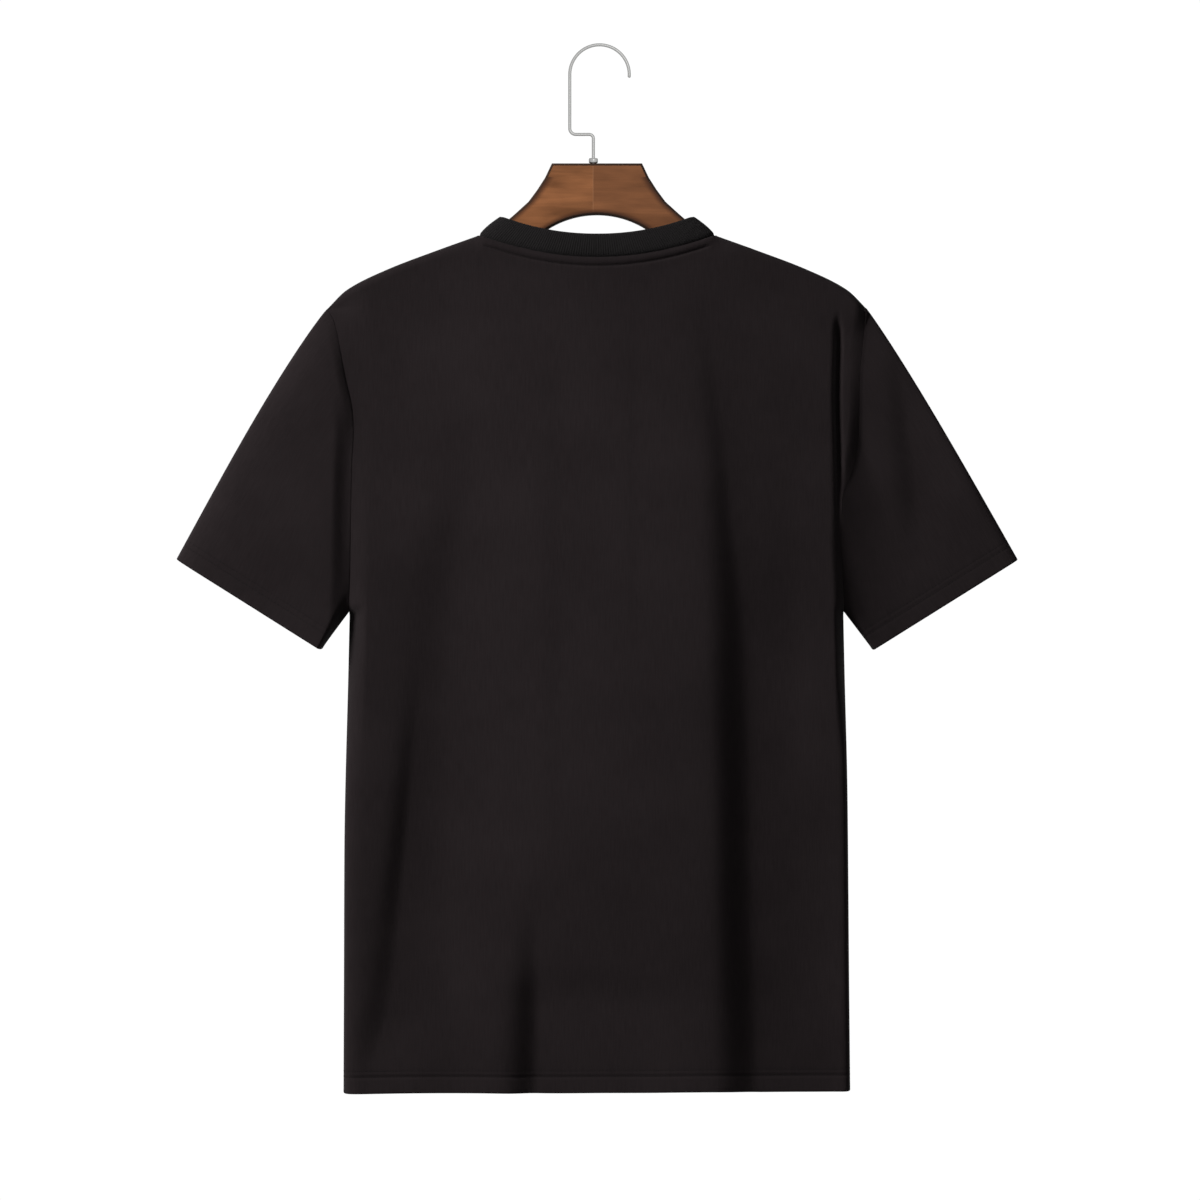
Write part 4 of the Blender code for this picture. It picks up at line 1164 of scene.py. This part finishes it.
# %% Thread
thread, tree, shader = new_material("black_thread", (0.006, 0.0055, 0.0055),
                                    {"Roughness": 0.7, "Specular IOR Level": 0.08})
twist = add(tree, "TexWave", {"Vector": add(tree, "TexCoord", out="Object"), "Scale": 900.0},
            wave_type="BANDS", bands_direction="DIAGONAL")
emboss(tree, shader, twist, 0.3, 0.0001)

# %% Stained wood
# The two boards meet at the middle, so grain and colour change there. The grain runs along
# each arm. The rounded edges and the wood beside them are darkened with painted shade.
GLUE_X, GLUE_HALF = -0.0032, 0.00045
OTHER_BOARD = 0.37
GRAIN_ANGLE, CLOUD_ANGLE = -14.0, -32.0
wood_finish, tree, shader = new_material("stained_wood", (0.2, 0.09, 0.045),
                                         {"Specular IOR Level": 0.14})
x, y, z = apart(tree, add(tree, "TexCoord", out="Object"))
right_side = maths(tree, "GREATER_THAN", x, GLUE_X)
along = maths(tree, "ABSOLUTE", x)
board = add(tree, "CombineXYZ", {0: along, 1: y,
                                 2: maths(tree, "MULTIPLY_ADD", right_side, OTHER_BOARD, z)})
grain = drawn_out(tree, board, (9.0, 60.0, 120.0), GRAIN_ANGLE, 6.0, Roughness=0.62, Distortion=0.4)
pores = drawn_out(tree, board, (60.0, 900.0, 1500.0), GRAIN_ANGLE)
cloud = drawn_out(tree, board, (28.0, 30.0, 75.0), CLOUD_ANGLE)
figure = ramp(tree, mixed(tree, grain, cloud, 0.45),
              ((0.34, (0.112, 0.044, 0.0175)), (0.66, (0.262, 0.104, 0.042))))
boards = coat(tree, figure, maths(tree, "MULTIPLY", right_side, 0.25), (0.12, 0.05, 0.026))
glue = maths(tree, "COMPARE", x, GLUE_X, GLUE_HALF)
glued = coat(tree, boards, maths(tree, "MULTIPLY", glue, 0.35), (0.3, 0.14, 0.07))
roughen(tree, shader, grain, 0.36, 0.52)
emboss(tree, shader, pores, 0.25, 0.0003)

# %% Painted shade towards the sloping edges and the arch
# A ramp over the height gives the half width of the wood there, in units of EDGE_UNIT. It ends
# white, so no painted shade is added at the flat top.
EDGE_UNIT = 0.12
WHITE = [1.0, 1.0, 1.0]
NEAR_SLOPE, NEAR_ARCH = (0.0022, 0.009), (0.0016, 0.006)
ROUNDED_OFF = 0.00008
low, high = WOOD_UPPER[-1][1], WOOD_UPPER[0][1]
widths = [((at - low) / (high - low), [edge / EDGE_UNIT] * 3) for edge, at in WOOD_UPPER[:0:-1]]
edges = ramp(tree, mapped(tree, z, (low, high)), widths + [(1.0, WHITE)])
from_slope = maths(tree, "SUBTRACT", maths(tree, "MULTIPLY", edges, EDGE_UNIT), along)
drop = maths(tree, "SUBTRACT", z, ARCH_Z - ARCH_RADIUS)
squares = maths(tree, "MULTIPLY_ADD", x, x, maths(tree, "MULTIPLY", drop, drop))
from_centre = maths(tree, "SQRT", squares)
from_arch = maths(tree, "SUBTRACT", from_centre, ARCH_RADIUS)
# Painted shade: the wood's colour is darkened near its sloping edges and its arch
painted_edge_shade = maths(tree, "MAXIMUM", mapped(tree, from_slope, NEAR_SLOPE, (0.94, 0.0), "SMOOTHSTEP"),
              mapped(tree, from_arch, NEAR_ARCH, (0.88, 0.0), "SMOOTHSTEP"))
edge_shaded = coat(tree, glued, painted_edge_shade, (0.05, 0.02, 0.011))
# Painted shade: the rounded edges all round are given a darker colour
at_edge = maths(tree, "LESS_THAN", maths(tree, "ABSOLUTE", y), 0.5 * WOOD_THICK - ROUNDED_OFF)
tree.links.new(coat(tree, edge_shaded, at_edge, (0.03, 0.016, 0.01)), shader.inputs["Base Color"])

# %% Wire and collar
steel, tree, shader = new_material("plated_wire", (0.62, 0.62, 0.61), {"Metallic": 1.0})
place = add(tree, "TexCoord", out="Object")
roughen(tree, shader, drawn_out(tree, place, (60.0, 60.0, 25.0), detail=3.0), 0.2, 0.3)

# %% Floor: pale from above, and clear when it is seen from below
pale, tree, shader = new_material("pale_floor", (0.86, 0.86, 0.85), {})
roughen(tree, shader, noise(tree, add(tree, "TexCoord", out="Object"), 30.0), 0.75, 0.85)
from_below = add(tree, "NewGeometry", out="Backfacing")
tree.links.new(maths(tree, "SUBTRACT", 1.0, from_below), shader.inputs["Alpha"])
floor.data.materials.append(pale)

# %% [markdown]
# ## Put it together
# Each piece gets its finish, rides on the model's one body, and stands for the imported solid
# whose place it takes. Every sheet of cloth states the size to which it was cut.

# %% Finishes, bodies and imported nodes
BODY = "root"
for piece, finish, slot, node in (
        (back, jersey, "cloth", "back_panel"),
        (front, jersey, "cloth", "front_panel"),
        (sleeve_left, jersey, "cloth", "sleeve_left"),
        (sleeve_right, jersey, "cloth", "sleeve_right"),
        (band, rib, "rib", "neck_band"),
        (wood, wood_finish, "wood", "hanger_wood"),
        (hook, steel, "wire", "hanger_hook"),
        (collar, steel, "wire", "hook_ferrule")):
    apply_all(piece)
    piece.data.materials.clear()
    piece.data.materials.append(finish)
    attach(piece, BODY)
    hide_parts(node)
for piece in threads.values():
    piece.data.materials.append(thread)
    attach(piece, BODY)

# %% State the sheets of cloth, and measure one side of each
for piece, flat, cut_area, threads_on in (
        (back, (0.480, 0.730), 0.332, ["thread_back"]),
        (front, (0.480, 0.730), 0.323, ["thread_front"]),
        (sleeve_left, (0.360, 0.262), 0.066, ["thread_sleeve_left"]),
        (sleeve_right, (0.360, 0.262), 0.066, ["thread_sleeve_right"]),
        (band, (0.490, 0.023), 0.0112, [])):
    area = 0.5 * sum(face.area for face in piece.data.polygons)
    print(f"{piece.name}: one side {area:.4f} m2, cut {flat[0]:.3f} x {flat[1]:.3f} m")
